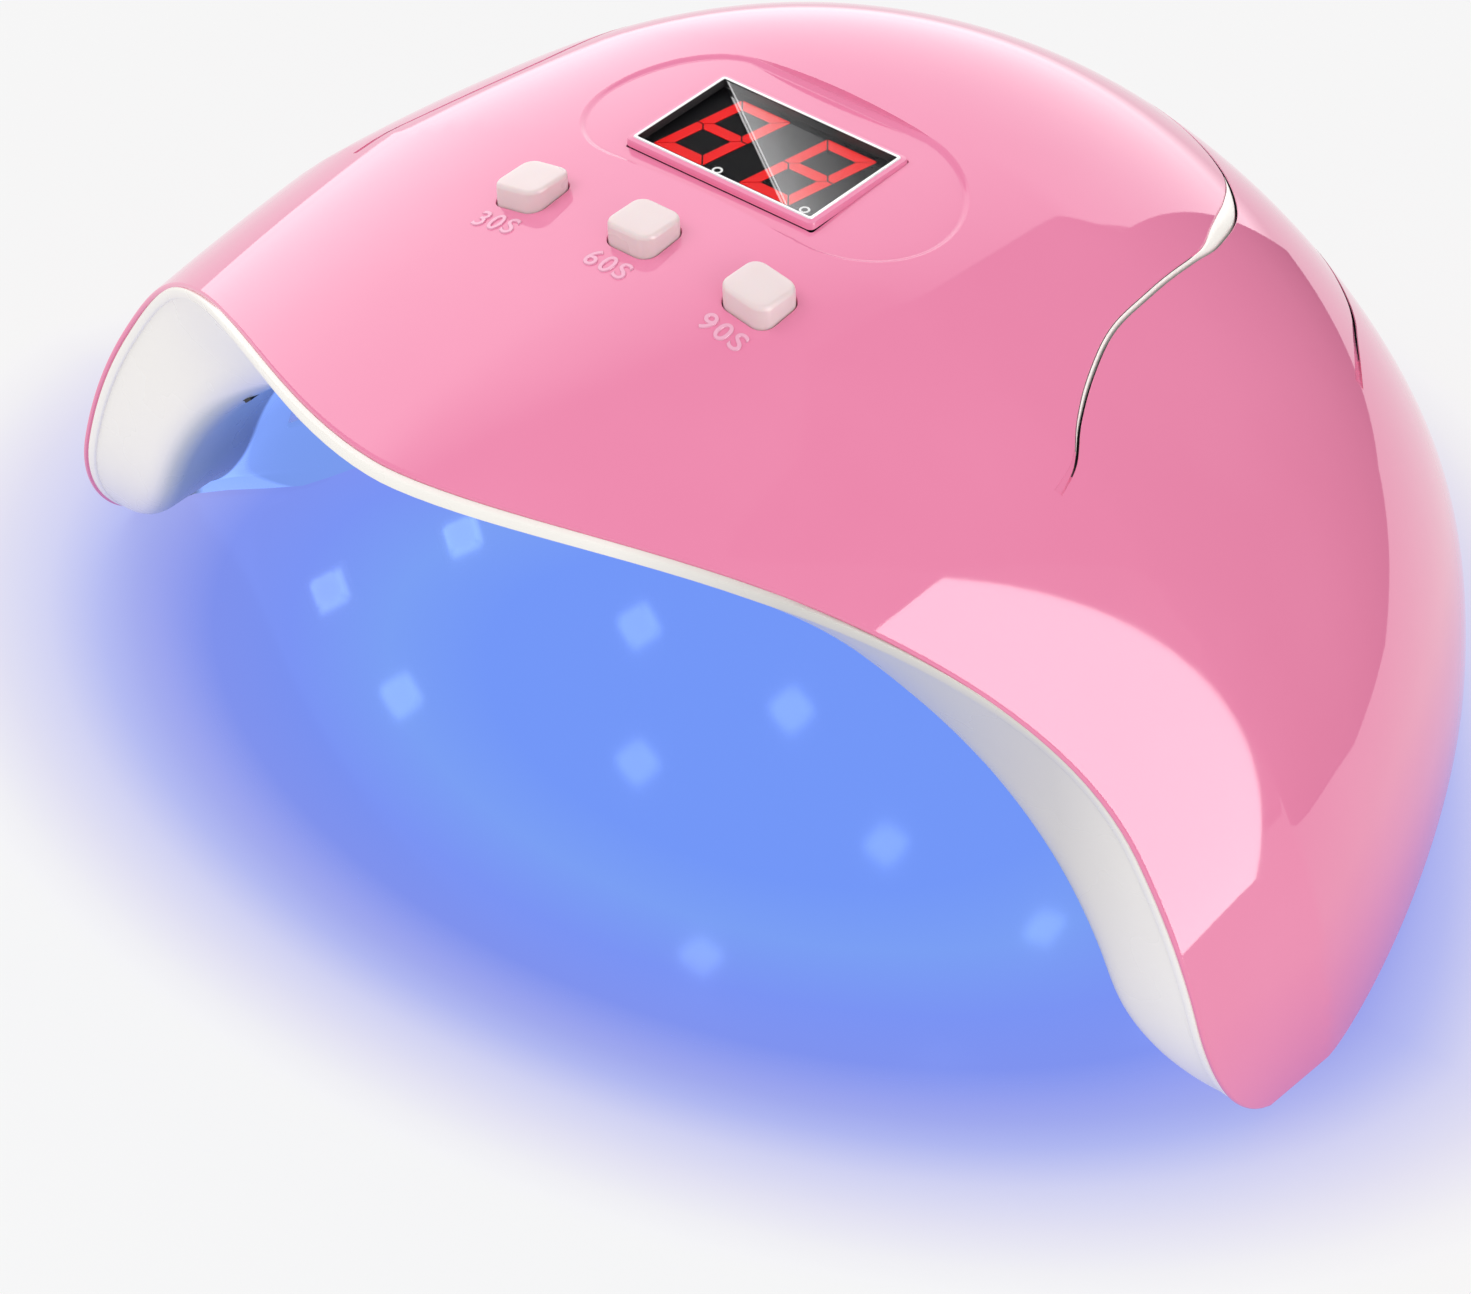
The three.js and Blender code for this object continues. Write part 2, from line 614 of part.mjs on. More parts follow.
// ---------- assembly ----------
const shell = makeShell();
add("top_shell", shell, PINK);
add("inner_liner", makeLiner(), WHITE);
add("shoulder_accent_left", crescent(-1, 0, 0.15, ACCENT.depth), WHITE);
add("shoulder_accent_right", crescent(1, 0, 0.15, ACCENT.depth), WHITE);

const lensShape = roundedRectangle(DISPLAY.width - GAP, DISPLAY.depth - GAP, 0.2);
const lensLow = DISPLAY.lensTop - DISPLAY.lens;
const halfDigitBlock = [DISPLAY.width / 2 - 0.4, DISPLAY.depth / 2 - 0.4];
const displayLens = prism(lensShape, lensLow, DISPLAY.lensTop, 2).translate([0, DISPLAY.y, 0]);
const bezel = frameAround(DISPLAY.width, DISPLAY.depth, DISPLAY.frame, lensLow, DISPLAY.lensTop + 0.1);
add("display_lens", displayLens, SMOKE);
add("display_bezel", bezel.translate([0, DISPLAY.y, 0]), SILVER);
add(
  "display_module",
  box(
    [-halfDigitBlock[0], DISPLAY.y - halfDigitBlock[1], BOARD.top + GAP],
    [halfDigitBlock[0], DISPLAY.y + halfDigitBlock[1], lensLow - GAP],
  ),
  BLACK,
);
add("control_board", makeBoard(), GREEN);

BUTTON_NAMES.forEach((name, index) => {
  const x = (index - 1) * BUTTON.pitch;
  add("button_" + name, makeButton(x), CREAM);
  add("tact_switch_" + name, makeSwitch(x), BLACK);
});
BOARD_POSTS.forEach(([x, y], index) => {
  add("board_screw_" + (index + 1), screw(x, y, BOARD.top - BOARD.thick - GAP, 5.5), STEEL);
});

let beadNumber = 0;
LAMP_ROWS.forEach((row, index) => {
  add("led_strip_" + (index + 1), lampStrip(row), WHITE);
  for (const [degrees, y] of wholeRow(row)) {
    beadNumber += 1;
    const name = "led_bead_" + String(beadNumber).padStart(2, "0");
    add(name, seat(bead(), THREE.MathUtils.degToRad(degrees), y), BLUE);
  }
});

const sensorNib = box(
  [-SENSOR.width / 2, -SENSOR.length / 2, 0.1],
  [SENSOR.width / 2, SENSOR.length / 2, SKIN + 1.5],
);
const sensorBody = beadBlock(SENSOR.body - 2, SKIN + 1, SKIN + 4);
const sensor = sensorNib.add(sensorBody);
add("ir_sensor", seat(sensor, THREE.MathUtils.degToRad(SENSOR.degrees), SENSOR.y), BLACK);

add("dc_jack", makeJack(), BLACK);
add("jack_lead", makeLead(), BLACK);
add("lead_connector", box([9, -9, BOARD.top + GAP], [17, -3, BOARD.top + 5]), WHITE);

POSTS.forEach(([x, y], index) => {
  add("case_screw_" + (index + 1), screw(x, y, FLANGE_Z - GAP, SCREW.reach), STEEL);
});
PADS.forEach(([x, y], index) => {
  add("rubber_foot_" + (index + 1), post(x, y, PAD.radius, 0, PAD.thick, 24), RUBBER);
});

export default lamp;
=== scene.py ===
"""Looks of the UV LED nail lamp: a glossy pink dome over a white reflector with lit violet-blue lamps.

The surfaces are worked out in millimetres in the part's frame and turned into metres when a mesh is made.
The mouth faces -Y, +Y is the back, and the table is z = 0.
"""

import math

import bmesh
import bpy
import numpy as np
from mathutils import Matrix, Vector


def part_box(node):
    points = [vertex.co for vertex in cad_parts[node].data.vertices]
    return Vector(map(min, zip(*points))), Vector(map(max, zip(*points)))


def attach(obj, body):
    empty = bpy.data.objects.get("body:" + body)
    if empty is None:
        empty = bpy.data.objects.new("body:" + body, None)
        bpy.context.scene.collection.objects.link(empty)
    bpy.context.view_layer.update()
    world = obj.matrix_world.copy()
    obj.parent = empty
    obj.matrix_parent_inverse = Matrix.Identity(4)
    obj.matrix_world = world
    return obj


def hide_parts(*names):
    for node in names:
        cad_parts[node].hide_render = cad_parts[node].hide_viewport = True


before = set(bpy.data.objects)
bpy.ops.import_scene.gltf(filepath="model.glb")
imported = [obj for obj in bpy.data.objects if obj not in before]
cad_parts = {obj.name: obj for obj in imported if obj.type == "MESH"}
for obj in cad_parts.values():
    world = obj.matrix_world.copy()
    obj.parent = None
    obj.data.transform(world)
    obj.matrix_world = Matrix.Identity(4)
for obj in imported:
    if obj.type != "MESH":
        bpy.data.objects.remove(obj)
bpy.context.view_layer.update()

MM = 0.001

# ---------- dome, as in the CAD ----------
WIDTH = 207.6
CROWN = 94.5
BACK_Y = 92.7
LIFT = 0.5
WALL = 2.4
SKIN = 2.0
GAP = 0.3
WIDEST_Y = -28.9
CROWN_DROOP = 0.001224
LEG_Y = -52.6
BRIM_REACH = 37.31
BRIM_FOOT_Z = 42
BRIM_TIP_Z = 84
TOE_Z = 20
TOE_BACK = 14

# ---------- front edge: a tapered wall and the reflector's lip close under it, unlike the CAD ----------
EDGE_OUTER = 0.45
EDGE_INNER = 0.12
EDGE_THIN = 0.65
EDGE_TAPER = 3.4
LIP_PROUD = 1.1
LIP_INSET = 2.5
LIP_RADIUS = 0.35
LIP_GAP = 0.04
LIP_ROWS = 6

# ---------- hand cavity ----------
MOUTH_HALF = 88
CAVITY_TOP = 64
CAVITY_TOP_Y = -10
CAVITY_BACK_Y = 70
LINER_BASE_Z = 1.0
FLANGE_Z = 2.6
FLANGE = 2.0
FOOT_Z = 18.5
FOOT_RADIUS = 16
FOOT_REACH = 11.1
FOOT_FULL = -38
FOOT_END = -22
MOUTH_FILLET = 7.0
FOOT_FILLET = 4.0
FILLET_TOP_Z = 45
FILLET_FADE = 30
FLANGE_START = FOOT_END - 3
FLANGE_SIDE_GAP = 0.9
FLANGE_BACK_GAP = 1.9

# ---------- control panel ----------
PANEL_Y = -16.3
PANEL_LENGTH = 57.6
PANEL_WIDTH = 27.0
PANEL_DEPTH = 0.5
DISPLAY_WIDTH = 30.0
DISPLAY_DEPTH = 17.5
DISPLAY_Y = -17.4
LENS_TOP = 93.4
LENS_THICK = 1.2
BEZEL = 0.9
BUTTON_Y = -41.6
BUTTON_PITCH = 19.66
BUTTON_SIDE = 7.8
BUTTON_CORNER = 2.0
BUTTON_PROUD = 3.0
BUTTON_FLANGE = 1.2
KEY_GAP = 0.16
LABELS = ["30S", "60S", "90S"]
BUTTON_NAMES = ["30s", "60s", "90s"]
LABEL_Y = -48.9
LABEL_SIZE = 4.3
LABEL_PROUD = 0.22
BOARD_TOP = 78.5
KEY_SKIRT = 1.3
KEY_STEM = 1.8
KEY_SEAT_REACH = 6
KEY_TOP = [(0, 4.0), (0, 0.85), (-0.04, 0.68), (-0.15, 0.48), (-0.32, 0.33), (-0.52, 0.25), (-0.7, 0.22),
           (-1.9, 0.2)]
LABEL_HALF = 0.35
LABEL_BEVEL = 0.07
LENS_GAP = 0.05
DIGIT_HEIGHT = 14.9
DIGIT_WIDTH = 8.5
DIGIT_STROKE = 1.75
DIGIT_GAP = 0.14
DIGIT_CENTRES = [-8.2, 6.7]
DIGIT_Y = 0.45
DIGIT_SLANT = 0.17
DIGIT_PROUD = 0.08
POINT_SPOTS = [(-2.9, -6.6), (12.0, -6.4)]

# ---------- lamps and fixings ----------
BEAD_SIDE = 8.0
BEAD_DEPTH = 4.6
BEAD_LENS = 2.6
BEAD_RECESS = 0.4
CUP_CORNERS = 7
CUP_BOWL = [(3.75, BEAD_RECESS), (3.6, 0.55), (3.0, 1.5), (2.9, 1.95)]
LAMP_ROWS = [
    [(15, -23), (31, -20), (74, -12)],
    [(14, -2), (50, 4)],
    [(34, 15.5), (54, 26), (77, 21)],
    [(70, 46)],
]
SENSOR_Y = -47.2
SENSOR_DEGREES = 142
SENSOR_SLOT = (2.2, 5.0)
JACK_Z = 14
JACK_BACK = 86.3
CASE_POSTS = [(-80.5, 12), (80.5, 12), (-59, 44), (59, 44)]
PADS = [(-93, -18.5), (93, -18.5), (-46, 62), (46, 62)]

# ---------- creases ----------
UPPER_CREASE = [(62, -32.7), (60.5, -28), (57, -22.7), (53.4, -15.6), (50.4, -7.4), (48.8, 2.8),
                (46.9, 13.7), (44.8, 21.9), (39.2, 32.7), (29, 42), (15, 48.5), (0, 51)]
LOWER_CREASE = [(60.5, 33.3), (53.9, 40.9), (44.9, 50.9), (31, 61), (15.5, 67.3), (0, 69.5)]
CREASE_HALF = 0.20
CREASE_DEPTH = 0.9
CREASE_FOLD = 0.12
CREASE_END = 0.985
UPPER_STEPS = 110
LOWER_STEPS = 70
RECESS_STEPS = 90
UPPER_RUN_IN = 0.14
LOWER_RUN_IN = 0.30
ACCENT_FROM = 0.12
ACCENT_SWELLS = 0.53
ACCENT_TO = 0.80
# Width of the accent's hairline, a painted highlight along the crease's lip.
PAINTED_HIGHLIGHT_LINE = 0.30
ACCENT_WIDTH = 1.55
ACCENT_DEPTH = 1.1
ACCENT_LOW = 0.17
ACCENT_GAP = 0.05
ACCENT_SHORTER = 0.002


# ---------- the lamp's surfaces ----------
def narrowing(y, back):
    u = np.clip((y - WIDEST_Y) / (back - WIDEST_Y), 0, 1)
    return (1 - u ** 1.2) ** (1 / 2.12)


def dome_half_width(y, inset=0.0):
    return (WIDTH / 2 - inset) * narrowing(y, BACK_Y - inset)


def dome_height(y, inset=0.0):
    front = CROWN - inset - CROWN_DROOP * y * y
    u = np.clip(y / (BACK_Y - inset), 0, 1)
    return np.where(y <= 0, front, (CROWN - inset) * (1 - u * u) ** (1 / 1.2))


def roundness(y):
    return 2.01 - 0.31 * (y / 100) ** 2


def arch(angle, half, height, base, power):
    c = np.cos(angle)
    s = np.maximum(np.sin(angle), 0)
    return np.sign(c) * half * np.abs(c) ** power, base + (height - base) * s ** power


def dome_point(angle, y, inset=0.0, base=LIFT):
    angle, y, inset = np.broadcast_arrays(angle, y, inset)
    height = np.maximum(dome_height(y, inset), base)
    x, z = arch(angle, dome_half_width(y, inset), height, base, 2 / roundness(y))
    return np.stack([x, y, z], -1)


def dome_z(x, y, inset=0.0):
    x, y = np.broadcast_arrays(np.asarray(x, float), np.asarray(y, float))
    n = roundness(y)
    share = np.clip(np.abs(x) / np.maximum(dome_half_width(y, inset), 1e-6), 0, 1)
    return dome_height(y, inset) * (1 - share ** n) ** (1 / n)


def toe(z):
    return TOE_BACK * (1 - np.sqrt(1 - np.clip(1 - z / TOE_Z, 0, 1) ** 2))


def arch_angles(count):
    """Angles round an arch, closer together near its feet."""
    share = np.linspace(0, 1, count + 1)
    return math.pi * share - 0.25 * np.sin(2 * math.pi * share)


def front_edge(z):
    s = np.maximum((z - BRIM_FOOT_Z) / (BRIM_TIP_Z - BRIM_FOOT_Z), 0)
    return LEG_Y + toe(z) - BRIM_REACH * (0.75 * s ** 2.05 + 0.25 * s ** 9)


def edge_y(angle):
    """The y at which the arch line of each angle meets the front edge."""
    low = np.full(angle.shape, -110.0)
    high = np.full(angle.shape, -40.0)
    for _ in range(40):
        y = (low + high) / 2
        ahead = y < front_edge(dome_point(angle, y)[..., 2])
        low = np.where(ahead, y, low)
        high = np.where(ahead, high, y)
    return high


def foot_reach(y, z):
    """How far the foot of a leg has curved outwards at this height."""
    fade = np.clip((FOOT_END - y) / (FOOT_END - FOOT_FULL), 0, 1)
    below = np.clip(FOOT_Z - z, 0, FOOT_RADIUS)
    curve = np.minimum(FOOT_RADIUS - np.sqrt(FOOT_RADIUS ** 2 - below ** 2), FOOT_REACH)
    return fade * fade * (3 - 2 * fade) * curve


def cavity_point(angle, y, offset=0.0, base=LINER_BASE_Z):
    angle, y = np.broadcast_arrays(np.asarray(angle, float), np.asarray(y, float))
    back = CAVITY_BACK_Y + offset
    half = (MOUTH_HALF + offset) * narrowing(y, back)
    fall = np.where(y > CAVITY_TOP_Y, (y - CAVITY_TOP_Y) / (back - CAVITY_TOP_Y), (CAVITY_TOP_Y - y) / 160)
    height = (CAVITY_TOP + offset) * np.sqrt(np.maximum(1 - fall * fall, 0))
    x, z = arch(angle, half, np.maximum(height, base), base, 1.0)
    return np.stack([x + np.sign(x) * foot_reach(y, z), y, z], -1)


def mouth_point(angle, offset):
    on_leg = cavity_point(angle, LEG_Y, offset)
    return cavity_point(angle, LEG_Y + toe(on_leg[..., 2]) + offset, offset)


def edge_inset(behind):
    """How deep the shell's inner face lies at a distance behind its front edge, where the wall tapers."""
    share = np.clip(behind / EDGE_TAPER, 0, 1)
    return EDGE_THIN + (WALL - EDGE_THIN) * share * (2 - share)


def lip_front(angle):
    start = edge_y(angle)
    return start - LIP_PROUD * np.clip((LEG_Y - start) / 20, 0, 1) + LIP_RADIUS


def lip_point(angle):
    return dome_point(angle, lip_front(angle), LIP_INSET, LINER_BASE_Z)


def seat_rows(angle):
    """The reflector's outer face from its lip to just behind the shell's edge, close under the shell."""
    start, front = edge_y(angle), lip_front(angle)
    rows = []
    for share in np.linspace(0, 1, LIP_ROWS + 1):
        y = front + (start + EDGE_TAPER - front) * share
        rows.append(dome_point(angle, y, edge_inset(y - start) + LIP_GAP, LINER_BASE_Z))
    return rows


def dome_level(points):
    """Zero on the dome's surface, positive outside it."""
    x, y, z = points.T
    y = np.minimum(y, BACK_Y - 0.05)
    n = roundness(y)
    across = np.abs(x) / dome_half_width(y)
    up = np.maximum(z - LIFT, 0) / (dome_height(y) - LIFT)
    return (across ** n + up ** n) ** (1 / n) - 1


def dome_gradient(points, step=0.02):
    slopes = []
    for axis in range(3):
        shift = np.zeros(3)
        shift[axis] = step
        slopes.append((dome_level(points + shift) - dome_level(points - shift)) / (2 * step))
    return np.stack(slopes, -1)


# ---------- mesh helpers ----------
def link(name, mesh):
    piece = bpy.data.objects.new(name, mesh)
    bpy.context.scene.collection.objects.link(piece)
    return piece


def build_mesh(name, parts, smooth=True):
    """One mesh from closed parts, each (points in mm, faces), with its normals turned outwards."""
    points, faces = [], []
    for part_points, part_faces in parts:
        start = sum(len(p) for p in points)
        points.append(np.asarray(part_points, float).reshape(-1, 3))
        faces += [[start + i for i in face] for face in part_faces]
    mesh = bpy.data.meshes.new(name)
    mesh.from_pydata((np.concatenate(points) * MM).tolist(), [], faces)
    tidy = bmesh.new()
    tidy.from_mesh(mesh)
    bmesh.ops.remove_doubles(tidy, verts=tidy.verts, dist=2e-6)
    bmesh.ops.dissolve_degenerate(tidy, edges=tidy.edges, dist=1e-7)
    bmesh.ops.recalc_face_normals(tidy, faces=tidy.faces)
    tidy.to_mesh(mesh)
    tidy.free()
    mesh.polygons.foreach_set("use_smooth", [smooth] * len(mesh.polygons))
    return mesh


def read_values(items, what, size=1, kind=float):
    """One property of every vertex, corner or face, as an array."""
    values = np.empty(len(items) * size, kind)
    items.foreach_get(what, values)
    return values.reshape(-1, size) if size > 1 else values


def soften(mesh, degrees=32):
    mesh.set_sharp_from_angle(angle=math.radians(degrees))
    return mesh


def place(name, mesh, material, body="housing", replaces=()):
    """Puts a finished mesh in the scene as a piece that rides on a body."""
    piece = link(name, mesh)
    if material is not None:
        mesh.materials.clear()
        mesh.materials.append(material)
        mesh.polygons.foreach_set("material_index", [0] * len(mesh.polygons))
    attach(piece, body)
    if replaces:
        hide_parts(*replaces)


def add_piece(name, parts, degrees, material, body="housing", replaces=()):
    """Builds and places a smooth piece, with sharp edges where faces turn by more than the degrees."""
    place(name, soften(build_mesh(name, parts), degrees), material, body, replaces)


def grid_faces(rows, columns, around=False, over=False):
    """Faces of a grid; around joins its last column to the first, over its last row to the first."""
    faces = []
    width = columns + (0 if around else 1)
    height = rows + (0 if over else 1)
    for j in range(rows):
        m = (j + 1) % height
        for i in range(columns):
            k = (i + 1) % width
            faces.append([j * width + i, m * width + i, m * width + k, j * width + k])
    return faces


def closed_strip(surface):
    """Closes a grid whose first half of rows is one face and whose second half is the other face."""
    rows, columns = surface.shape[0] - 1, surface.shape[1] - 1
    faces = grid_faces(rows, columns)
    width = columns + 1
    last = rows * width
    for j in range(rows // 2):
        for i in (0, columns):
            near, far = j * width + i, last - j * width + i
            faces.append([near, near + width, far - width, far])
    for i in range(columns):
        faces.append([i, i + 1, last + i + 1, last + i])
    return surface.reshape(-1, 3), faces


def loft(rings):
    """A closed body through matching rings of points, with a fan over each end."""
    rings = np.asarray(rings, float)
    rows, columns = rings.shape[0] - 1, rings.shape[1]
    faces = grid_faces(rows, columns, around=True)
    points = np.concatenate([rings.reshape(-1, 3), [rings[0].mean(0), rings[-1].mean(0)]])
    first, last = len(points) - 2, len(points) - 1
    for i in range(columns):
        k = (i + 1) % columns
        faces.append([first, i, k])
        faces.append([last, rows * columns + i, rows * columns + k])
    return points, faces


def hoop(rings):
    """A closed ring-shaped body: the rings follow one another round a closed profile."""
    rings = np.asarray(rings, float)
    rows, columns = rings.shape[0], rings.shape[1]
    return rings.reshape(-1, 3), grid_faces(rows, columns, around=True, over=True)


def rounded_outline(width, height, corner, steps=6):
    """Points of a rounded rectangle around the origin, anticlockwise."""
    points = []
    for quarter, (sx, sy) in enumerate([(1, 1), (-1, 1), (-1, -1), (1, -1)]):
        for step in range(steps + 1):
            a = math.pi / 2 * (quarter + step / steps)
            points.append((sx * (width / 2 - corner) + corner * math.cos(a),
                           sy * (height / 2 - corner) + corner * math.sin(a)))
    return np.array(points)


def circle(radius, count=32):
    a = np.arange(count) * 2 * math.pi / count
    return np.stack([radius * np.cos(a), radius * np.sin(a)], -1)


def flat_ring(outline, z, x=0.0, y=0.0):
    return np.column_stack([outline[:, 0] + x, outline[:, 1] + y, np.full(len(outline), float(z))])


def draped_ring(outline, depth, x, y):
    """A ring that lies the given depth under the dome."""
    px, py = outline[:, 0] + x, outline[:, 1] + y
    return np.column_stack([px, py, dome_z(px, py) - depth])


def block(width, depth, corner, steps, rings, x=0.0, y=0.0):
    """An upright body with rounded corners, from (growth, z) pairs."""
    return loft([flat_ring(rounded_outline(width + 2 * grow, depth + 2 * grow, corner, steps), z, x, y)
                 for grow, z in rings])


def upright_ring(outline, y):
    """A ring round the socket's axis, which runs front to back."""
    return np.column_stack([outline[:, 0], np.full(len(outline), float(y)), outline[:, 1] + JACK_Z])


def lathe(profile, x=0.0, y=0.0, count=32):
    """An upright turned body from (radius, z) pairs."""
    return loft([flat_ring(circle(max(r, 0.001), count), z, x, y) for r, z in profile])


def curve_points(knots, shares):
    """Points and tangents of a smooth curve through the knots, at shares from 0 to 1."""
    knots = np.array(knots, float)
    ends = np.vstack([2 * knots[0] - knots[1], knots, 2 * knots[-1] - knots[-2]])
    places, tangents = [], []
    for share in shares:
        t = share * (len(knots) - 1)
        i = min(int(t), len(knots) - 2)
        t -= i
        a, b, c, d = ends[i:i + 4]
        places.append(0.5 * (2 * b + (c - a) * t + (2 * a - 5 * b + 4 * c - d) * t * t
                             + (3 * b - a - 3 * c + d) * t ** 3))
        slope = 0.5 * ((c - a) + 2 * (2 * a - 5 * b + 4 * c - d) * t + 3 * (3 * b - a - 3 * c + d) * t * t)
        tangents.append(slope / np.linalg.norm(slope))
    return np.array(places), np.array(tangents)


def crease_body(knots, side, share_from, share_to, steps, profile):
    """A bar along a crease; profile(along) gives its section as (shift to the inside, depth) pairs."""
    alongs = np.linspace(0, 1, steps + 1)
    places, tangents = curve_points(knots, share_from + (share_to - share_from) * alongs)
    rings = []
    for spot, tangent, along in zip(places, tangents, alongs):
        ring = []
        for shift, depth in profile(along):
            x = spot[0] - tangent[1] * shift
            y = spot[1] + tangent[0] * shift
            ring.append((side * x, y, dome_z(x, y) - depth))
        rings.append(ring)
    return loft(rings)


def subtract(mesh, cutters):
    """The mesh with every cutter, (points, faces), taken out of it."""
    body = link("being_cut", mesh)
    helpers = []
    for index, cutter in enumerate(cutters):
        helper = link("cutter_%02d" % index, build_mesh("cutter_%02d" % index, [cutter]))
        helper.hide_render = True
        helpers.append(helper)
        step = body.modifiers.new(helper.name, "BOOLEAN")
        step.operation = "DIFFERENCE"
        step.solver = "MANIFOLD"
        step.object = helper
    graph = bpy.context.evaluated_depsgraph_get()
    result = bpy.data.meshes.new_from_object(body.evaluated_get(graph))
    result.name = mesh.name
    for spare in [body] + helpers:
        old = spare.data
        bpy.data.objects.remove(spare)
        bpy.data.meshes.remove(old)
    result.polygons.foreach_set("use_smooth", [True] * len(result.polygons))
    return result


# ---------- materials ----------
# The materials measure in metres, in the part's frame.
CLOUD_EDGES = (0.35, 0.65)
CLOUD_SPAN = (0.3, 0.7)
SUBSURFACE_SCALE = 0.002

# Sockets of the mix node when it mixes colours.
MIX_FACTOR = 0
MIX_FIRST = 6
MIX_SECOND = 7
MIX_RESULT = 2


def greys(stops):
    return [(position, (level, level, level)) for position, level in stops]


BAY_SPAN = (-0.060, 0.0)
# Painted shade on the reflector by depth: white at the rim, then slate blue behind it for shade and the
# lamps' spilled light, near black where the painted blue glow takes over.
BAY_PAINTED_SHADE = [
    (-0.0523, (1.0, 1.0, 1.0)),
    (-0.0513, (0.78, 0.80, 0.74)),
    (-0.0490, (0.50, 0.56, 0.56)),
    (-0.0430, (0.34, 0.42, 0.48)),
    (-0.0352, (0.24, 0.31, 0.42)),
    (-0.0342, (0.01, 0.01, 0.02)),
]
# Painted light: the reflector's walls deeper in glow blue, standing in for the lamps' light falling on them.
BAY_GLOW = [(-0.0352, (0.0, 0.0, 0.0)), (-0.0342, (0.18, 0.31, 0.80))]
# Painted light: a faint warm glow that brightens the front of the rim.
RIM_GLOW = [(-0.0523, (0.05, 0.035, 0.0)), (-0.0513, (0.0, 0.0, 0.0))]
# Painted shade: the rim is darker across part of its right half, by X.
RIM_SPAN = (-0.1, 0.12)
RIM_SHADE = greys([(0.030, 1.0), (0.050, 0.70), (0.078, 0.74), (0.090, 0.92), (0.098, 1.0)])
# Painted reflection on the window: its mirror shows only to the right of a diagonal, with a painted highlight
# line along it, set by the window's opacity.
SHEEN_FROM = (-0.0133, 0.0079)
SHEEN_TO = (0.0073, -0.0062)
SHEEN_SPAN = (-0.002, 0.022)
SHEEN_STOPS = greys([(-0.00014, 0.001), (-0.00010, 0.28), (0.00010, 0.28), (0.00016, 0.085), (0.0050, 0.040),
                     (0.0110, 0.014), (0.0200, 0.005)])


def set_inputs(tree, node, **inputs):
    """Sets or links inputs of a node; an underscore in a name stands for a blank."""
    for name, value in inputs.items():
        socket = node.inputs[name.replace("_", " ")]
        if isinstance(value, bpy.types.NodeSocket):
            tree.links.new(value, socket)
        else:
            socket.default_value = value


def add_node(tree, kind, **inputs):
    node = tree.nodes.new("ShaderNode" + kind)
    set_inputs(tree, node, **inputs)
    return node


def empty_material(name):
    material = bpy.data.materials.new(name)
    material.use_nodes = True
    material.node_tree.nodes.clear()
    return material, material.node_tree


def new_material(name):
    """A material with its node tree, its shader and the object coordinates."""
    material, tree = empty_material(name)
    shader = add_node(tree, "BsdfPrincipled")
    add_node(tree, "OutputMaterial", Surface=shader.outputs["BSDF"])
    return material, tree, shader, add_node(tree, "TexCoord").outputs["Object"]


def noise(tree, where, scale, detail=3.0):
    return add_node(tree, "TexNoise", Vector=where, Scale=scale, Detail=detail).outputs["Fac"]


def colour_ramp(tree, factor, stops):
    node = add_node(tree, "ValToRGB", Fac=factor)
    elements = node.color_ramp.elements
    while len(elements) < len(stops):
        elements.new(0.5)
    for element, (position, colour) in zip(elements, stops):
        element.position = position
        element.color = (*colour, 1)
    return node.outputs["Color"]


def spread(tree, factor, low, high):
    """The clouds' factor stretched from low to high."""
    start, end = CLOUD_SPAN
    node = add_node(tree, "MapRange", Value=factor, From_Min=start, From_Max=end, To_Min=low, To_Max=high)
    return node.outputs["Result"]


def plastic(name, first, second, rough, grain=900.0, mottle=60.0, relief=0.08, distance=0.00005,
            metallic=0.0, specular=0.5, subsurface=0.0, glow=None, power=0.0):
    """Moulded or plated surface: two close colours in soft clouds, uneven gloss and a fine grain."""
    material, tree, shader, where = new_material(name)
    clouds = noise(tree, where, mottle)
    fine = noise(tree, where, grain, 2.0)
    grains = add_node(tree, "Bump", Height=fine, Strength=relief, Distance=distance)
    set_inputs(tree, shader, Base_Color=colour_ramp(tree, clouds, list(zip(CLOUD_EDGES, (first, second)))),
               Roughness=spread(tree, clouds, *rough), Normal=grains.outputs["Normal"],
               Metallic=metallic, Specular_IOR_Level=specular,
               Subsurface_Weight=subsurface, Subsurface_Scale=SUBSURFACE_SCALE)
    if glow is not None:
        set_inputs(tree, shader, Emission_Color=(*glow, 1), Emission_Strength=power)
    return material


PINK = plastic("glossy_pink_shell", (0.868, 0.256, 0.430), (0.882, 0.267, 0.443), (0.025, 0.050),
               grain=1400, mottle=35, relief=0.02, distance=0.00002)
# Dark gap between parts, also painted shade on the creases' walls and floors.
CREASE_GAP_SHADE = plastic("crease_gap_painted_shade", (0.010, 0.006, 0.008), (0.018, 0.011, 0.014), (0.5, 0.7),
                      relief=0.2)
WHITE = plastic("white_reflector", (0.905, 0.89, 0.875), (0.915, 0.90, 0.885), (0.22, 0.34), relief=0.02)


def axis_value(tree, where, axis):
    return add_node(tree, "SeparateXYZ", Vector=where).outputs[axis]


def math_node(tree, operation, *values):
    node = tree.nodes.new("ShaderNodeMath")
    node.operation = operation
    for index, value in enumerate(values):
        if isinstance(value, (int, float)):
            node.inputs[index].default_value = value
        else:
            tree.links.new(value, node.inputs[index])
    return node.outputs[0]


def steps_of(tree, value, span, stops):
    """Colour by a value: stops are (value, colour) within the span."""
    low, high = span
    share = add_node(tree, "MapRange", Value=value, From_Min=low, From_Max=high).outputs["Result"]
    return colour_ramp(tree, share, [((position - low) / (high - low), colour) for position, colour in stops])


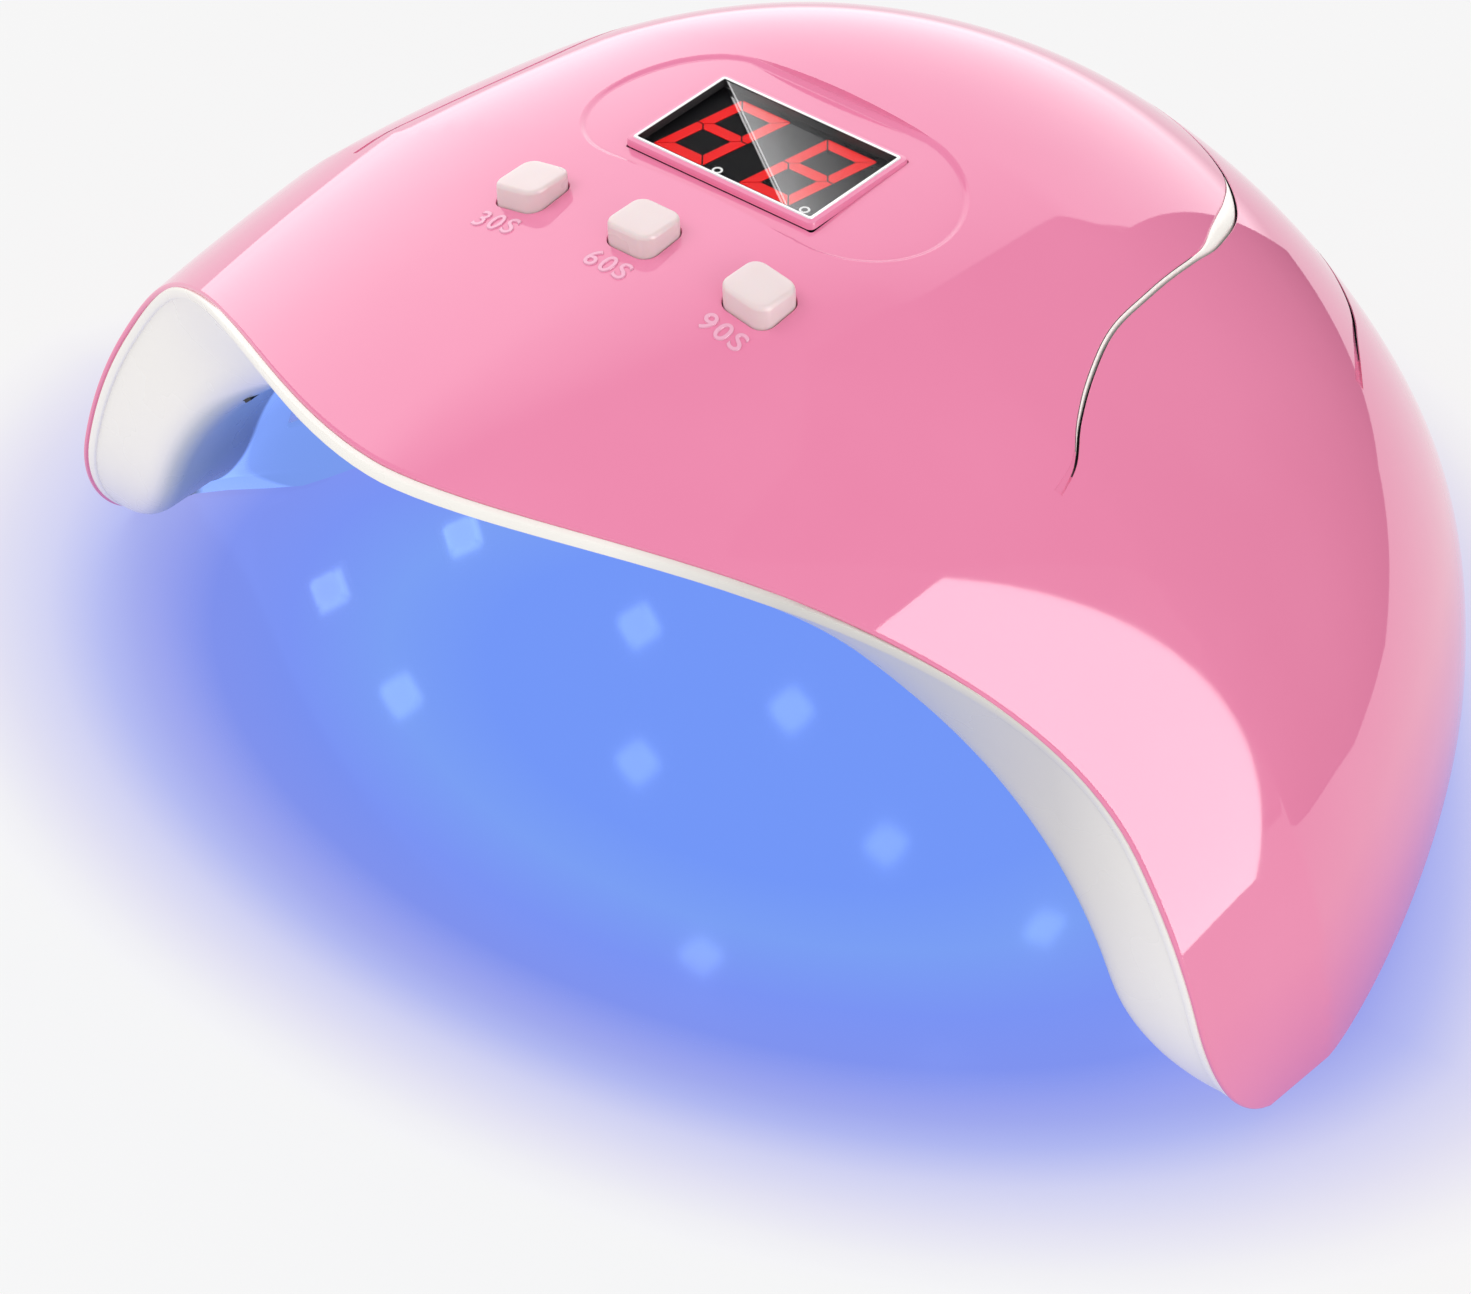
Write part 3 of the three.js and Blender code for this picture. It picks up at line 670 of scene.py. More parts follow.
def mix_colours(tree, first, second, how="MULTIPLY"):
    node = tree.nodes.new("ShaderNodeMix")
    node.data_type = "RGBA"
    node.blend_type = how
    node.inputs[MIX_FACTOR].default_value = 1.0
    tree.links.new(first, node.inputs[MIX_FIRST])
    tree.links.new(second, node.inputs[MIX_SECOND])
    return node.outputs[MIX_RESULT]


def parts_of(material):
    """Node tree, shader and a new object coordinate of a finished material."""
    tree = material.node_tree
    shader = next(node for node in tree.nodes if node.type == "BSDF_PRINCIPLED")
    return tree, shader, add_node(tree, "TexCoord").outputs["Object"]


def light_the_bay():
    """Paints light and shade on the reflector: painted shade from white at the rim to slate behind it, a
    painted blue glow deeper in, and a faint painted glow and painted shade on the rim.
    """
    tree, shader, where = parts_of(WHITE)
    y = axis_value(tree, where, "Y")
    share = math_node(tree, "DIVIDE", axis_value(tree, where, "Z"), TOE_Z * MM)
    below = math_node(tree, "MAXIMUM", math_node(tree, "SUBTRACT", 1.0, share), 0.0)
    square = math_node(tree, "SUBTRACT", 1.0, math_node(tree, "POWER", below, 2.0))
    curve = math_node(tree, "SUBTRACT", 1.0, math_node(tree, "SQRT", square))
    depth = math_node(tree, "SUBTRACT", y, math_node(tree, "MULTIPLY", curve, TOE_BACK * MM))
    # Painted shade across the rim, by X.
    shade = steps_of(tree, axis_value(tree, where, "X"), RIM_SPAN, RIM_SHADE)
    plain = shader.inputs["Base Color"].links[0].from_socket
    painted_shade = steps_of(tree, depth, BAY_SPAN, BAY_PAINTED_SHADE)
    # rim is the painted warm glow on the rim, darkened where the painted rim shade falls.
    rim = mix_colours(tree, steps_of(tree, depth, BAY_SPAN, RIM_GLOW), shade)
    # Painted blue light on the walls deeper in.
    glow = steps_of(tree, y, BAY_SPAN, BAY_GLOW)
    set_inputs(tree, shader, Base_Color=mix_colours(tree, mix_colours(tree, plain, shade), painted_shade),
               Emission_Color=mix_colours(tree, rim, glow, "ADD"), Emission_Strength=1.0)


def sheen_on_window():
    """Painted reflection on the clear window: it mirrors light only to the right of a diagonal, with a
    painted bright line along it.
    """
    tree, shader, where = parts_of(PAINTED_SHEEN_WINDOW)
    along = Vector((SHEEN_TO[0] - SHEEN_FROM[0], SHEEN_TO[1] - SHEEN_FROM[1]))
    across = Vector((-along.y, along.x)).normalized()
    start = across.x * SHEEN_FROM[0] + across.y * (SHEEN_FROM[1] + DISPLAY_Y * MM)
    by_x = math_node(tree, "MULTIPLY", axis_value(tree, where, "X"), across.x)
    by_y = math_node(tree, "MULTIPLY", axis_value(tree, where, "Y"), across.y)
    beyond = math_node(tree, "SUBTRACT", math_node(tree, "ADD", by_x, by_y), start)
    set_inputs(tree, shader, Alpha=steps_of(tree, beyond, SHEEN_SPAN, SHEEN_STOPS))


# The pearl accent has a faint painted glow (emission), though it is no lamp.
PEARL_PAINTED_GLOW = plastic("pearl_accent_painted_glow", (0.97, 0.93, 0.88), (0.98, 0.95, 0.91), (0.25, 0.4), relief=0.03,
                glow=(1.0, 0.93, 0.85), power=0.10)
CREAM = plastic("cream_key", (0.80, 0.66, 0.66), (0.83, 0.70, 0.70), (0.25, 0.38), relief=0.12,
                subsurface=0.15)
SILVER = plastic("bright_bezel", (0.88, 0.88, 0.90), (0.94, 0.94, 0.95), (0.2, 0.3), relief=0.1,
                 metallic=0.15)
LABEL_PINK = plastic("raised_label", (0.88, 0.42, 0.58), (0.90, 0.46, 0.61), (0.1, 0.2), relief=0.05)
# The window is a clear mirror whose reflection is painted in place by sheen_on_window.
PAINTED_SHEEN_WINDOW = plastic("window_with_painted_sheen", (0.94, 0.94, 0.95), (0.97, 0.97, 0.98), (0.015, 0.03), relief=0.01,
                metallic=1.0)
MODULE = plastic("display_block", (0.003, 0.003, 0.004), (0.006, 0.006, 0.007), (0.3, 0.5), relief=0.15,
                 specular=0.02)
SEGMENT = plastic("lit_segment", (0.14, 0.003, 0.003), (0.17, 0.004, 0.003), (0.3, 0.45), specular=0.05,
                  glow=(1.0, 0.006, 0.008), power=0.66)
POINT = plastic("unlit_point", (0.80, 0.80, 0.80), (0.88, 0.88, 0.88), (0.4, 0.5))
BLACK = plastic("black_moulding", (0.012, 0.012, 0.013), (0.022, 0.022, 0.024), (0.35, 0.5), relief=0.25)
RUBBER = plastic("pale_rubber", (0.55, 0.53, 0.54), (0.62, 0.60, 0.61), (0.6, 0.8), grain=500, relief=0.35)
STEEL = plastic("zinc_screw", (0.50, 0.51, 0.53), (0.62, 0.63, 0.65), (0.22, 0.4), metallic=1.0, relief=0.2)
BOARD = plastic("solder_mask", (0.010, 0.11, 0.05), (0.016, 0.15, 0.07), (0.3, 0.45), relief=0.2)
STRIP = plastic("white_flex_strip", (0.76, 0.76, 0.78), (0.84, 0.84, 0.86), (0.4, 0.55), relief=0.2)
CUP = plastic("lamp_cup", (0.80, 0.81, 0.84), (0.88, 0.89, 0.92), (0.08, 0.18), metallic=0.6, relief=0.05)
LAMP = plastic("lit_lamp", (0.35, 0.45, 0.9), (0.45, 0.55, 0.95), (0.05, 0.12), glow=(0.50, 0.72, 1.0),
               power=3.2)
CONNECTOR = plastic("nylon_connector", (0.74, 0.73, 0.70), (0.82, 0.81, 0.78), (0.4, 0.55), relief=0.2)
light_the_bay()
sheen_on_window()


# ---------- top shell ----------
SHELL_COLUMNS = 176
SHELL_ROWS = 110
EDGE_ROWS = 5
ON_SURFACE = 0.03
ALIGNED = 0.97
PANEL_REACH_X = 30
PANEL_REACH_Y = 14
# Where the creases take the dark gap colour and painted shade: depth under the dome and reach from the crease
# line.
CREASE_FLOOR_FROM = 0.30
CREASE_FLOOR_TO = 1.6
CREASE_REACH = 0.6
PANEL_FLOOR = [(-inward, PANEL_DEPTH) for inward in (12.9, 10, 7, 4, 2, 0.9, 0.35)]
PANEL_SLOPE = [(-0.1, PANEL_DEPTH - 0.06), (0.15, PANEL_DEPTH - 0.24), (0.4, 0.07), (0.6, 0.0), (0.7, -0.3),
               (0.7, -3)]
KEY_MOUTH = [(0.0, 8), (0.0, 0.2), (0.03, 0.08), (0.1, 0.0), (0.2, -3)]


def shell_surface():
    angles = arch_angles(SHELL_COLUMNS)
    start = edge_y(angles)
    arc = np.linspace(0, math.pi / 2, EDGE_ROWS + 1)
    spacing = np.sin(math.pi / 2 * np.linspace(0, 1, SHELL_ROWS + 1))

    def side(share, inset):
        last = (BACK_Y - inset) * math.sqrt(1 - ((LIFT + 0.4) / (CROWN - inset)) ** 1.2)
        return dome_point(angles, start + EDGE_TAPER + (last - start - EDGE_TAPER) * share, inset)

    inner = [np.tile([0, BACK_Y - WALL, LIFT], (len(angles), 1))]
    outer = []
    for share in spacing[::-1]:
        inner.append(side(share, WALL))
    for behind in np.linspace(EDGE_TAPER, EDGE_INNER, EDGE_ROWS + 1)[1:]:
        inner.append(dome_point(angles, start + behind, edge_inset(behind)))
    for a in arc[1:]:
        inset = edge_inset(EDGE_INNER) - EDGE_INNER * (1 - math.cos(a))
        inner.append(dome_point(angles, start + EDGE_INNER * (1 - math.sin(a)), inset))
    for a in arc[:-1]:
        inset = EDGE_OUTER * (1 - math.sin(a))
        outer.append(dome_point(angles, start + EDGE_OUTER * (1 - math.cos(a)), inset))
    for behind in np.linspace(EDGE_OUTER, EDGE_TAPER, EDGE_ROWS + 1)[:-1]:
        outer.append(dome_point(angles, start + behind, 0.0))
    for share in spacing:
        outer.append(side(share, 0.0))
    outer.append(np.tile([0, BACK_Y, LIFT], (len(angles), 1)))
    return np.array(inner + outer)


def draped_cutter(width, depth, corner, steps, rings, x, y):
    """A rounded opening that follows the dome, from (growth, depth under the dome) pairs."""
    drapes = []
    for grow, under in rings:
        outline = rounded_outline(width + 2 * grow, depth + 2 * grow, corner + grow, steps)
        drapes.append(draped_ring(outline, under, x, y))
    return loft(drapes)


def panel_cutter():
    """The shallow oval recess, with a soft slope round it."""
    rings = PANEL_FLOOR + PANEL_SLOPE
    return draped_cutter(PANEL_LENGTH, PANEL_WIDTH, PANEL_WIDTH / 2 - 0.01, 24, rings, 0, PANEL_Y)


def key_cutter(x):
    side = BUTTON_SIDE + 2 * KEY_GAP
    return draped_cutter(side, side, BUTTON_CORNER + KEY_GAP, 6, KEY_MOUTH, x, BUTTON_Y)


def display_cutter():
    grow = BEZEL + GAP
    return block(DISPLAY_WIDTH, DISPLAY_DEPTH, 0.5, 3, [(grow, 80), (grow, 100)], 0, DISPLAY_Y)


def crease_profile(runs_in):
    """Section of a crease that starts as a shallow fold and is a full groove after its share runs_in."""
    def section(along):
        grown = min(1.0, along / runs_in)
        ends = min(1.0, 14 * (1 - along) + 0.25) * (0.25 + 0.75 * grown)
        half = CREASE_HALF * ends
        low_lip = half + CREASE_FOLD + 0.75 * (1 - grown)
        high_lip = half + 0.10
        deep = CREASE_FOLD + (CREASE_DEPTH - CREASE_FOLD) * grown ** 2
        edge = min(CREASE_FOLD, 0.8 * deep)
        return [(-high_lip - 0.1, -1), (-high_lip, 0), (-half, edge), (-half, deep),
                (half, deep), (half, edge), (low_lip, 0), (low_lip + 0.1, -1)]
    return section


def accent_width(along):
    """A white hairline, a painted highlight along the crease's upper lip, that swells into the crescent and
    comes to a point at the back.
    """
    share = ACCENT_FROM + (ACCENT_TO - ACCENT_FROM) * along
    swell = (share - ACCENT_SWELLS) / (ACCENT_TO - ACCENT_SWELLS)
    bulge = math.sin(math.pi * swell ** 1.35) ** 1.5 if 0 < swell < 1 else 0.0
    line = PAINTED_HIGHLIGHT_LINE * min(1.0, 5 * along + 0.2) * min(1.0, 4 * max(1 - swell, 0) + 0.15)
    return line + ACCENT_WIDTH * bulge


def accent_recess(along):
    low = ACCENT_GAP
    high = ACCENT_LOW + ACCENT_GAP + accent_width(along)
    deep = ACCENT_DEPTH + 0.1
    return [(low, -1), (low, deep), (high, deep), (high, 0.1), (high + 0.06, 0), (high + 0.1, -1)]


def accent_section(along):
    wide = accent_width(along)
    low, high = ACCENT_LOW, ACCENT_LOW + wide
    soft = min(0.25, wide / 4)
    return [(low, ACCENT_DEPTH), (low, 0.3), (low + 0.3 * soft, 0.14), (low + soft, 0.07),
            ((low + high) / 2, 0.03), (high - soft, 0.06), (high - 0.3 * soft, 0.12), (high, 0.2),
            (high, ACCENT_DEPTH)]


def jack_hole():
    profile = [(70, 4.5), (BACK_Y - 3.2, 4.5), (BACK_Y - 2.2, 4.9), (BACK_Y + 3, 7.5)]
    return loft([upright_ring(circle(radius, 36), y) for y, radius in profile])


def polish(mesh):
    """Gives the faces on the dome and on the panel its exact normals, so that reflections run smoothly."""
    soften(mesh)
    points = read_values(mesh.vertices, "co", 3) / MM
    gradient = dome_gradient(points)
    steep = np.maximum(np.linalg.norm(gradient, axis=1), 1e-9)
    normal = gradient / steep[:, None]
    on_dome = np.abs(dome_level(points)) / steep < ON_SURFACE
    under = dome_z(points[:, 0], points[:, 1]) - points[:, 2]
    on_panel = (np.abs(under - PANEL_DEPTH) < ON_SURFACE) & (np.abs(points[:, 0]) < PANEL_REACH_X)
    on_panel &= np.abs(points[:, 1] - PANEL_Y) < PANEL_REACH_Y
    corners = read_values(mesh.loops, "vertex_index", kind=int)
    starts = read_values(mesh.polygons, "loop_start", kind=int)
    facing = read_values(mesh.polygons, "normal", 3)
    whole = np.minimum.reduceat((on_dome | on_panel)[corners].astype(int), starts) > 0
    sizes = np.diff(np.append(starts, len(corners)))
    owner = np.repeat(np.arange(len(starts)), sizes)
    aligned = (facing[owner] * normal[corners]).sum(1) > ALIGNED
    aligned = np.minimum.reduceat(aligned.astype(int), starts) > 0
    use = (whole & aligned)[owner]
    current = read_values(mesh.corner_normals, "vector", 3)
    current[use] = normal[corners[use]]
    mesh.normals_split_custom_set(current.tolist())


def darken_creases(mesh, slot_index):
    """The walls and floors of the creases take the dark material: the dark gap between parts, and painted
    shade deep in the grooves.
    """
    x, y, z = (read_values(mesh.polygons, "center", 3) / MM).T
    under = dome_z(x, y) - z
    reach = np.full(len(x), 1e9)
    for knots in (UPPER_CREASE, LOWER_CREASE):
        line, _ = curve_points(knots, np.linspace(0, 1, 200))
        gap = np.hypot(np.abs(x)[:, None] - line[:, 0], y[:, None] - line[:, 1]).min(1)
        reach = np.minimum(reach, gap)
    dark = (under > CREASE_FLOOR_FROM) & (under < CREASE_FLOOR_TO) & (reach < CREASE_REACH)
    for index in np.nonzero(dark)[0]:
        mesh.polygons[index].material_index = slot_index


def make_shell():
    shell = build_mesh("pink_top_shell", [closed_strip(shell_surface())])
    cutters = [panel_cutter(), display_cutter(), jack_hole()]
    cutters += [key_cutter(column * BUTTON_PITCH) for column in (-1, 0, 1)]
    upper_groove, lower_groove = crease_profile(UPPER_RUN_IN), crease_profile(LOWER_RUN_IN)
    for side in (-1, 1):
        cutters.append(crease_body(UPPER_CREASE, side, 0.0, CREASE_END, UPPER_STEPS, upper_groove))
        cutters.append(crease_body(LOWER_CREASE, side, 0.0, CREASE_END, LOWER_STEPS, lower_groove))
        cutters.append(crease_body(UPPER_CREASE, side, ACCENT_FROM, ACCENT_TO, RECESS_STEPS, accent_recess))
    shell = subtract(shell, cutters)
    polish(shell)
    shell.materials.clear()
    shell.materials.append(PINK)
    shell.materials.append(CREASE_GAP_SHADE)
    shell.polygons.foreach_set("material_index", [0] * len(shell.polygons))
    darken_creases(shell, 1)
    place("pink_top_shell", shell, None, replaces=["top_shell"])
    for side, name in ((-1, "left"), (1, "right")):
        start, end = ACCENT_FROM + ACCENT_SHORTER, ACCENT_TO - ACCENT_SHORTER
        body = crease_body(UPPER_CREASE, side, start, end, UPPER_STEPS, accent_section)
        add_piece("accent_crescent_" + name, [body], 50, PEARL_PAINTED_GLOW,
                  replaces=["shoulder_accent_" + name])


# ---------- reflector ----------
LINER_COLUMNS = 128
FLARE_ROWS = 8
BAY_ROWS = 45
FLANGE_COLUMNS = 60
LIP_SHARES = (0.01, 0.05, 0.10, 0.18, 0.5, 0.82, 0.90, 0.95, 0.99)


def liner_rows(offset):
    """Rows from the lip in front of the brim, over the rim and round the mouth, to the back of the cavity."""
    angles = arch_angles(LINER_COLUMNS)
    lip = lip_point(angles)
    mouth = mouth_point(angles, offset)
    end = CAVITY_BACK_Y + offset
    lowness = np.clip((FILLET_TOP_Z - mouth[:, 2]) / FILLET_FADE, 0, 1)
    fillet = MOUTH_FILLET + (FOOT_FILLET - MOUTH_FILLET) * lowness
    flare_length = np.linalg.norm(mouth - lip, axis=1)
    share = np.clip(1 - fillet / np.maximum(flare_length, 1), 0.2, 1)[:, None]
    before = lip + (mouth - lip) * share
    after = cavity_point(angles, mouth[:, 1] + fillet, offset)
    if offset > 0:
        rows = seat_rows(angles)
    else:
        rows = [lip + (before - lip) * t for t in np.linspace(0, 0.1, LIP_ROWS + 1)]
    lip = rows[-1]
    shares = np.linspace(0, 1, FLARE_ROWS + 1)[1:]
    rows += [lip + (before - lip) * t for t in shares]
    for t in shares:
        rows.append((1 - t) ** 2 * before + 2 * t * (1 - t) * mouth + t * t * after)
    for t in np.sin(math.pi / 2 * np.linspace(0, 1, BAY_ROWS + 1))[1:]:
        start = mouth[:, 1] + fillet
        rows.append(cavity_point(angles, start + (end - start) * t, offset))
    return rows


def liner_surface():
    face = liner_rows(0.0)
    back = liner_rows(SKIN)
    bead = []
    for t in LIP_SHARES:
        inward = min(min(t, 1 - t) * (LIP_INSET - EDGE_THIN) / LIP_RADIUS, 1.0)
        point = back[0] + (face[0] - back[0]) * t
        point[:, 1] -= LIP_RADIUS * math.sqrt(1 - (1 - inward) ** 2)
        bead.append(point)
    return np.array(back[::-1] + bead + face)


def mirrored(x, y):
    """An open outline from its right half, which ends on the centre line."""
    return np.concatenate([np.column_stack([x, y]), np.column_stack([-x, y])[-2::-1]])


def flange_plate():
    high = FLANGE_Z + FLANGE
    inset = WALL + GAP
    shares = np.sin(math.pi / 2 * np.linspace(0, 1, FLANGE_COLUMNS + 1))
    outer_y = FLANGE_START + (BACK_Y - inset - FLANGE_BACK_GAP - FLANGE_START) * shares
    narrow = np.sqrt(1 - np.minimum(high / np.maximum(dome_height(outer_y, inset), 1e-3), 1) ** 2)
    outer_x = dome_half_width(outer_y, inset) * narrow - FLANGE_SIDE_GAP
    middle = SKIN / 2
    inner_y = FLANGE_START + (CAVITY_BACK_Y + middle - FLANGE_START) * shares
    inner_x = (MOUTH_HALF + middle) * narrowing(inner_y, CAVITY_BACK_Y + middle) + foot_reach(inner_y, high)
    outer_x[-1] = inner_x[-1] = 0
    outer, inner = mirrored(outer_x, outer_y), mirrored(inner_x, inner_y)
    bevelled = outer + (inner - outer) * 0.03
    profile = [(outer, FLANGE_Z + 0.3), (outer, high), (inner, high), (inner, FLANGE_Z), (bevelled, FLANGE_Z)]
    points = np.array([flat_ring(outline, z) for outline, z in profile])
    rows, width = points.shape[0], points.shape[1]
    faces = grid_faces(rows, width - 1, over=True)
    for i in (0, width - 1):
        faces.append([j * width + i for j in range(rows)])
    return points.reshape(-1, 3), faces


def seat_matrix(degrees, y):
    """Where a part sits on the cavity's wall, its +Z away from the cavity."""
    angle = math.radians(degrees)
    step = 0.01
    across = cavity_point(angle + step, y) - cavity_point(angle - step, y)
    along = cavity_point(angle, y + step) - cavity_point(angle, y - step)
    normal = np.cross(along, across)
    normal = normal / np.linalg.norm(normal)
    sideways = np.cross([0, 1, 0], normal)
    sideways = sideways / np.linalg.norm(sideways)
    forward = np.cross(normal, sideways)
    spot = cavity_point(angle, y)
    return np.column_stack([sideways, forward, normal]), spot


def seated(part, degrees, y):
    turn, spot = seat_matrix(degrees, y)
    points, faces = part
    return np.asarray(points) @ turn.T + spot, faces


def closed_rim(surface):
    """The reflector's grid: back face, rounded lip, visible face, closed along both feet and at the back."""
    rows, width = surface.shape[0], surface.shape[1]
    faces = grid_faces(rows - 1, width - 1)
    count = (rows - len(LIP_SHARES)) // 2
    last = (rows - 1) * width
    for j in range(count - 1):
        for i in (0, width - 1):
            near, far = j * width + i, last - j * width + i
            faces.append([near, near + width, far - width, far])
    middle = list(range(count - 1, rows - count + 1))
    for i in (0, width - 1):
        faces.append([j * width + i for j in middle])
    for i in range(width - 1):
        faces.append([i, i + 1, last + i + 1, last + i])
    return surface.reshape(-1, 3), faces


def make_liner():
    liner = build_mesh("white_reflector_bay", [closed_rim(liner_surface())])
    cutters = []
    hole = block(BEAD_SIDE, BEAD_SIDE, 0.8, 3, [(GAP, -4), (GAP, 5)])
    for degrees, y in lamp_spots():
        cutters.append(seated(hole, degrees, y))
    slot = block(*SENSOR_SLOT, 0.6, 3, [(0, -4), (0, 4)])
    cutters.append(seated(slot, SENSOR_DEGREES, SENSOR_Y))
    liner = subtract(liner, cutters)
    flange = build_mesh("flange", [flange_plate()])
    joined = bmesh.new()
    joined.from_mesh(liner)
    joined.from_mesh(flange)
    joined.to_mesh(liner)
    joined.free()
    bpy.data.meshes.remove(flange)
    soften(liner, 35)
    place("white_reflector_bay", liner, WHITE, replaces=["inner_liner"])


# ---------- lamps ----------
def lamp_spots():
    """Angle and y of every lamp, row by row, right half then left half."""
    spots = []
    for row in LAMP_ROWS:
        spots += row + [(180 - degrees, y) for degrees, y in reversed(row)]
    return spots


def bead_mesh():
    square = rounded_outline(BEAD_SIDE, BEAD_SIDE, 0.6, CUP_CORNERS)
    inner = rounded_outline(BEAD_SIDE - 0.5, BEAD_SIDE - 0.5, 0.5, CUP_CORNERS)
    angles = np.arctan2(square[:, 1], square[:, 0])
    turn = np.stack([np.cos(angles), np.sin(angles)], -1)
    rings = [flat_ring(square, BEAD_DEPTH), flat_ring(square, 0.75), flat_ring(inner, BEAD_RECESS)]
    rings += [flat_ring(turn * radius, z) for radius, z in CUP_BOWL]
    cup = loft(rings)
    dome = [(BEAD_LENS, 2.2), (BEAD_LENS, 1.8)]
    for step in range(7):
        a = math.pi / 2 * (1 - step / 7)
        dome.append((BEAD_LENS * math.sin(a), BEAD_RECESS + 1.6 - 1.45 * math.cos(a)))
    lens = lathe(dome, count=28)
    mesh = build_mesh("lamp_bead", [cup, lens])
    mesh.materials.append(CUP)
    mesh.materials.append(LAMP)
    for face in mesh.polygons:
        middle = face.center / MM
        if math.hypot(middle.x, middle.y) < BEAD_LENS + 0.02 and middle.z < 1.9:
            face.material_index = 1
    return soften(mesh, 40)


def make_lamps():
    mesh = bead_mesh()
    for index, (degrees, y) in enumerate(lamp_spots()):
        turn, spot = seat_matrix(degrees, y)
        piece = link("lamp_%02d" % (index + 1), mesh)
        matrix = Matrix(turn.tolist()).to_4x4()
        matrix.translation = Vector((spot * MM).tolist())
        piece.matrix_world = matrix
        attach(piece, "housing")
        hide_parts("led_bead_%02d" % (index + 1))


# ---------- keys, labels and display ----------
def key_ring(grow, z, x):
    outline = rounded_outline(BUTTON_SIDE + 2 * grow, BUTTON_SIDE + 2 * grow, BUTTON_CORNER + grow)
    return flat_ring(outline, z, x, BUTTON_Y)


def make_keys():
    for index, name in enumerate(BUTTON_NAMES):
        x = (index - 1) * BUTTON_PITCH
        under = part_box("button_" + name)[0].z / MM
        top = float(dome_z(x, BUTTON_Y)) + BUTTON_PROUD
        lean = float(dome_z(x + 1, BUTTON_Y) - dome_z(x - 1, BUTTON_Y)) / 2
        reach = KEY_SEAT_REACH
        corners = [dome_z(x + a * reach, BUTTON_Y + b * reach, WALL) for a in (-1, 1) for b in (-1, 1)]
        seat = float(min(corners)) - GAP - BUTTON_FLANGE
        skirt = seat + BUTTON_FLANGE
        rings = [key_ring(KEY_SKIRT, seat, x), key_ring(KEY_SKIRT, skirt, x), key_ring(0, skirt, x)]
        for grow, drop in KEY_TOP:
            ring = key_ring(grow, top - drop, x)
            ring[:, 2] += lean * (ring[:, 0] - x)
            rings.append(ring)
        stem = lathe([(KEY_STEM, under), (KEY_STEM, seat + 0.5)], x, BUTTON_Y, 24)
        add_piece("key_cap_" + name, [loft(rings), stem], 40, CREAM, "key_" + name,
                  ["button_" + name])


def make_labels():
    """The timer values in raised letters on the dome in front of each key."""
    for index, words in enumerate(LABELS):
        text = bpy.data.curves.new("label_" + words, "FONT")
        text.body = words
        text.size = LABEL_SIZE * MM
        text.align_x = "CENTER"
        text.align_y = "CENTER"
        text.extrude = LABEL_HALF * MM
        text.bevel_depth = LABEL_BEVEL * MM
        text.bevel_resolution = 1
        text.space_character = 1.18
        helper = link("label_helper", text)
        graph = bpy.context.evaluated_depsgraph_get()
        mesh = bpy.data.meshes.new_from_object(helper.evaluated_get(graph))
        bpy.data.objects.remove(helper)
        points = read_values(mesh.vertices, "co", 3) / MM
        points[:, 0] += (index - 1) * BUTTON_PITCH
        points[:, 1] += LABEL_Y
        points[:, 2] += dome_z(points[:, 0], points[:, 1]) + LABEL_PROUD - LABEL_HALF - LABEL_BEVEL
        mesh.vertices.foreach_set("co", (points * MM).ravel())
        mesh.update()
        place("label_" + words, mesh, LABEL_PINK)


def digit_bars():
    """Outlines of the seven mitred bars of a digit around its centre."""
    w, h, wide, gap = DIGIT_WIDTH / 2, DIGIT_HEIGHT / 2, DIGIT_STROKE, DIGIT_GAP
    half = wide / 2
    across = [(-w + gap, h), (w - gap, h), (w - wide - gap, h - wide), (-w + wide + gap, h - wide)]
    upright = [(-w, h - gap), (-w + wide, h - wide - gap), (-w + wide, half + gap), (-w + half, gap),
               (-w, gap)]
    centre = [(-w + half + gap, 0), (-w + wide + gap, half), (w - wide - gap, half), (w - half - gap, 0),
              (w - wide - gap, -half), (-w + wide + gap, -half)]
    bars = [np.array(centre)]
    for flip in (-1, 1):
        bars.append(np.array(across) * [1, flip])
        for side in (-1, 1):
            bars.append(np.array(upright) * [side, flip])
    for outline in bars:
        outline[:, 0] += DIGIT_SLANT * outline[:, 1]
    return bars


def make_window():
    low = LENS_TOP - LENS_THICK
    rings = [(-0.2, low), (0, low + 0.2), (0, LENS_TOP - 0.15), (-0.06, LENS_TOP - 0.04), (-0.18, LENS_TOP)]
    lens = block(DISPLAY_WIDTH - 2 * LENS_GAP, DISPLAY_DEPTH - 2 * LENS_GAP, 0.3, 3, rings, 0, DISPLAY_Y)
    add_piece("smoked_display_window", [lens], 30, PAINTED_SHEEN_WINDOW, replaces=["display_lens"])


def make_bezel():
    """A bright line on top; the walls are black towards the window and pink towards the shell."""
    low = LENS_TOP - LENS_THICK
    wide = BEZEL + GAP - 0.03
    profile = [(0.0, low), (wide, low), (wide, LENS_TOP - 0.45), (wide - 0.12, LENS_TOP - 0.22),
               (0.46, LENS_TOP - 0.06), (0.38, LENS_TOP + 0.08), (0.06, LENS_TOP + 0.08),
               (0.0, LENS_TOP + 0.02)]
    rings = []
    for grow, z in profile:
        outline = rounded_outline(DISPLAY_WIDTH + 2 * grow, DISPLAY_DEPTH + 2 * grow, 0.2 + grow * 0.5, 4)
        rings.append(flat_ring(outline, z, 0, DISPLAY_Y))
    mesh = soften(build_mesh("display_frame", [hoop(rings)]), 40)
    for material in (SILVER, BLACK, PINK):
        mesh.materials.append(material)
    for face in mesh.polygons:
        middle = face.center / MM
        beyond = max(abs(middle.x) - DISPLAY_WIDTH / 2, abs(middle.y - DISPLAY_Y) - DISPLAY_DEPTH / 2)
        if middle.z < LENS_TOP - 0.02:
            face.material_index = 2 if beyond > 0.3 else 1
    place("display_frame", mesh, None, replaces=["display_bezel"])


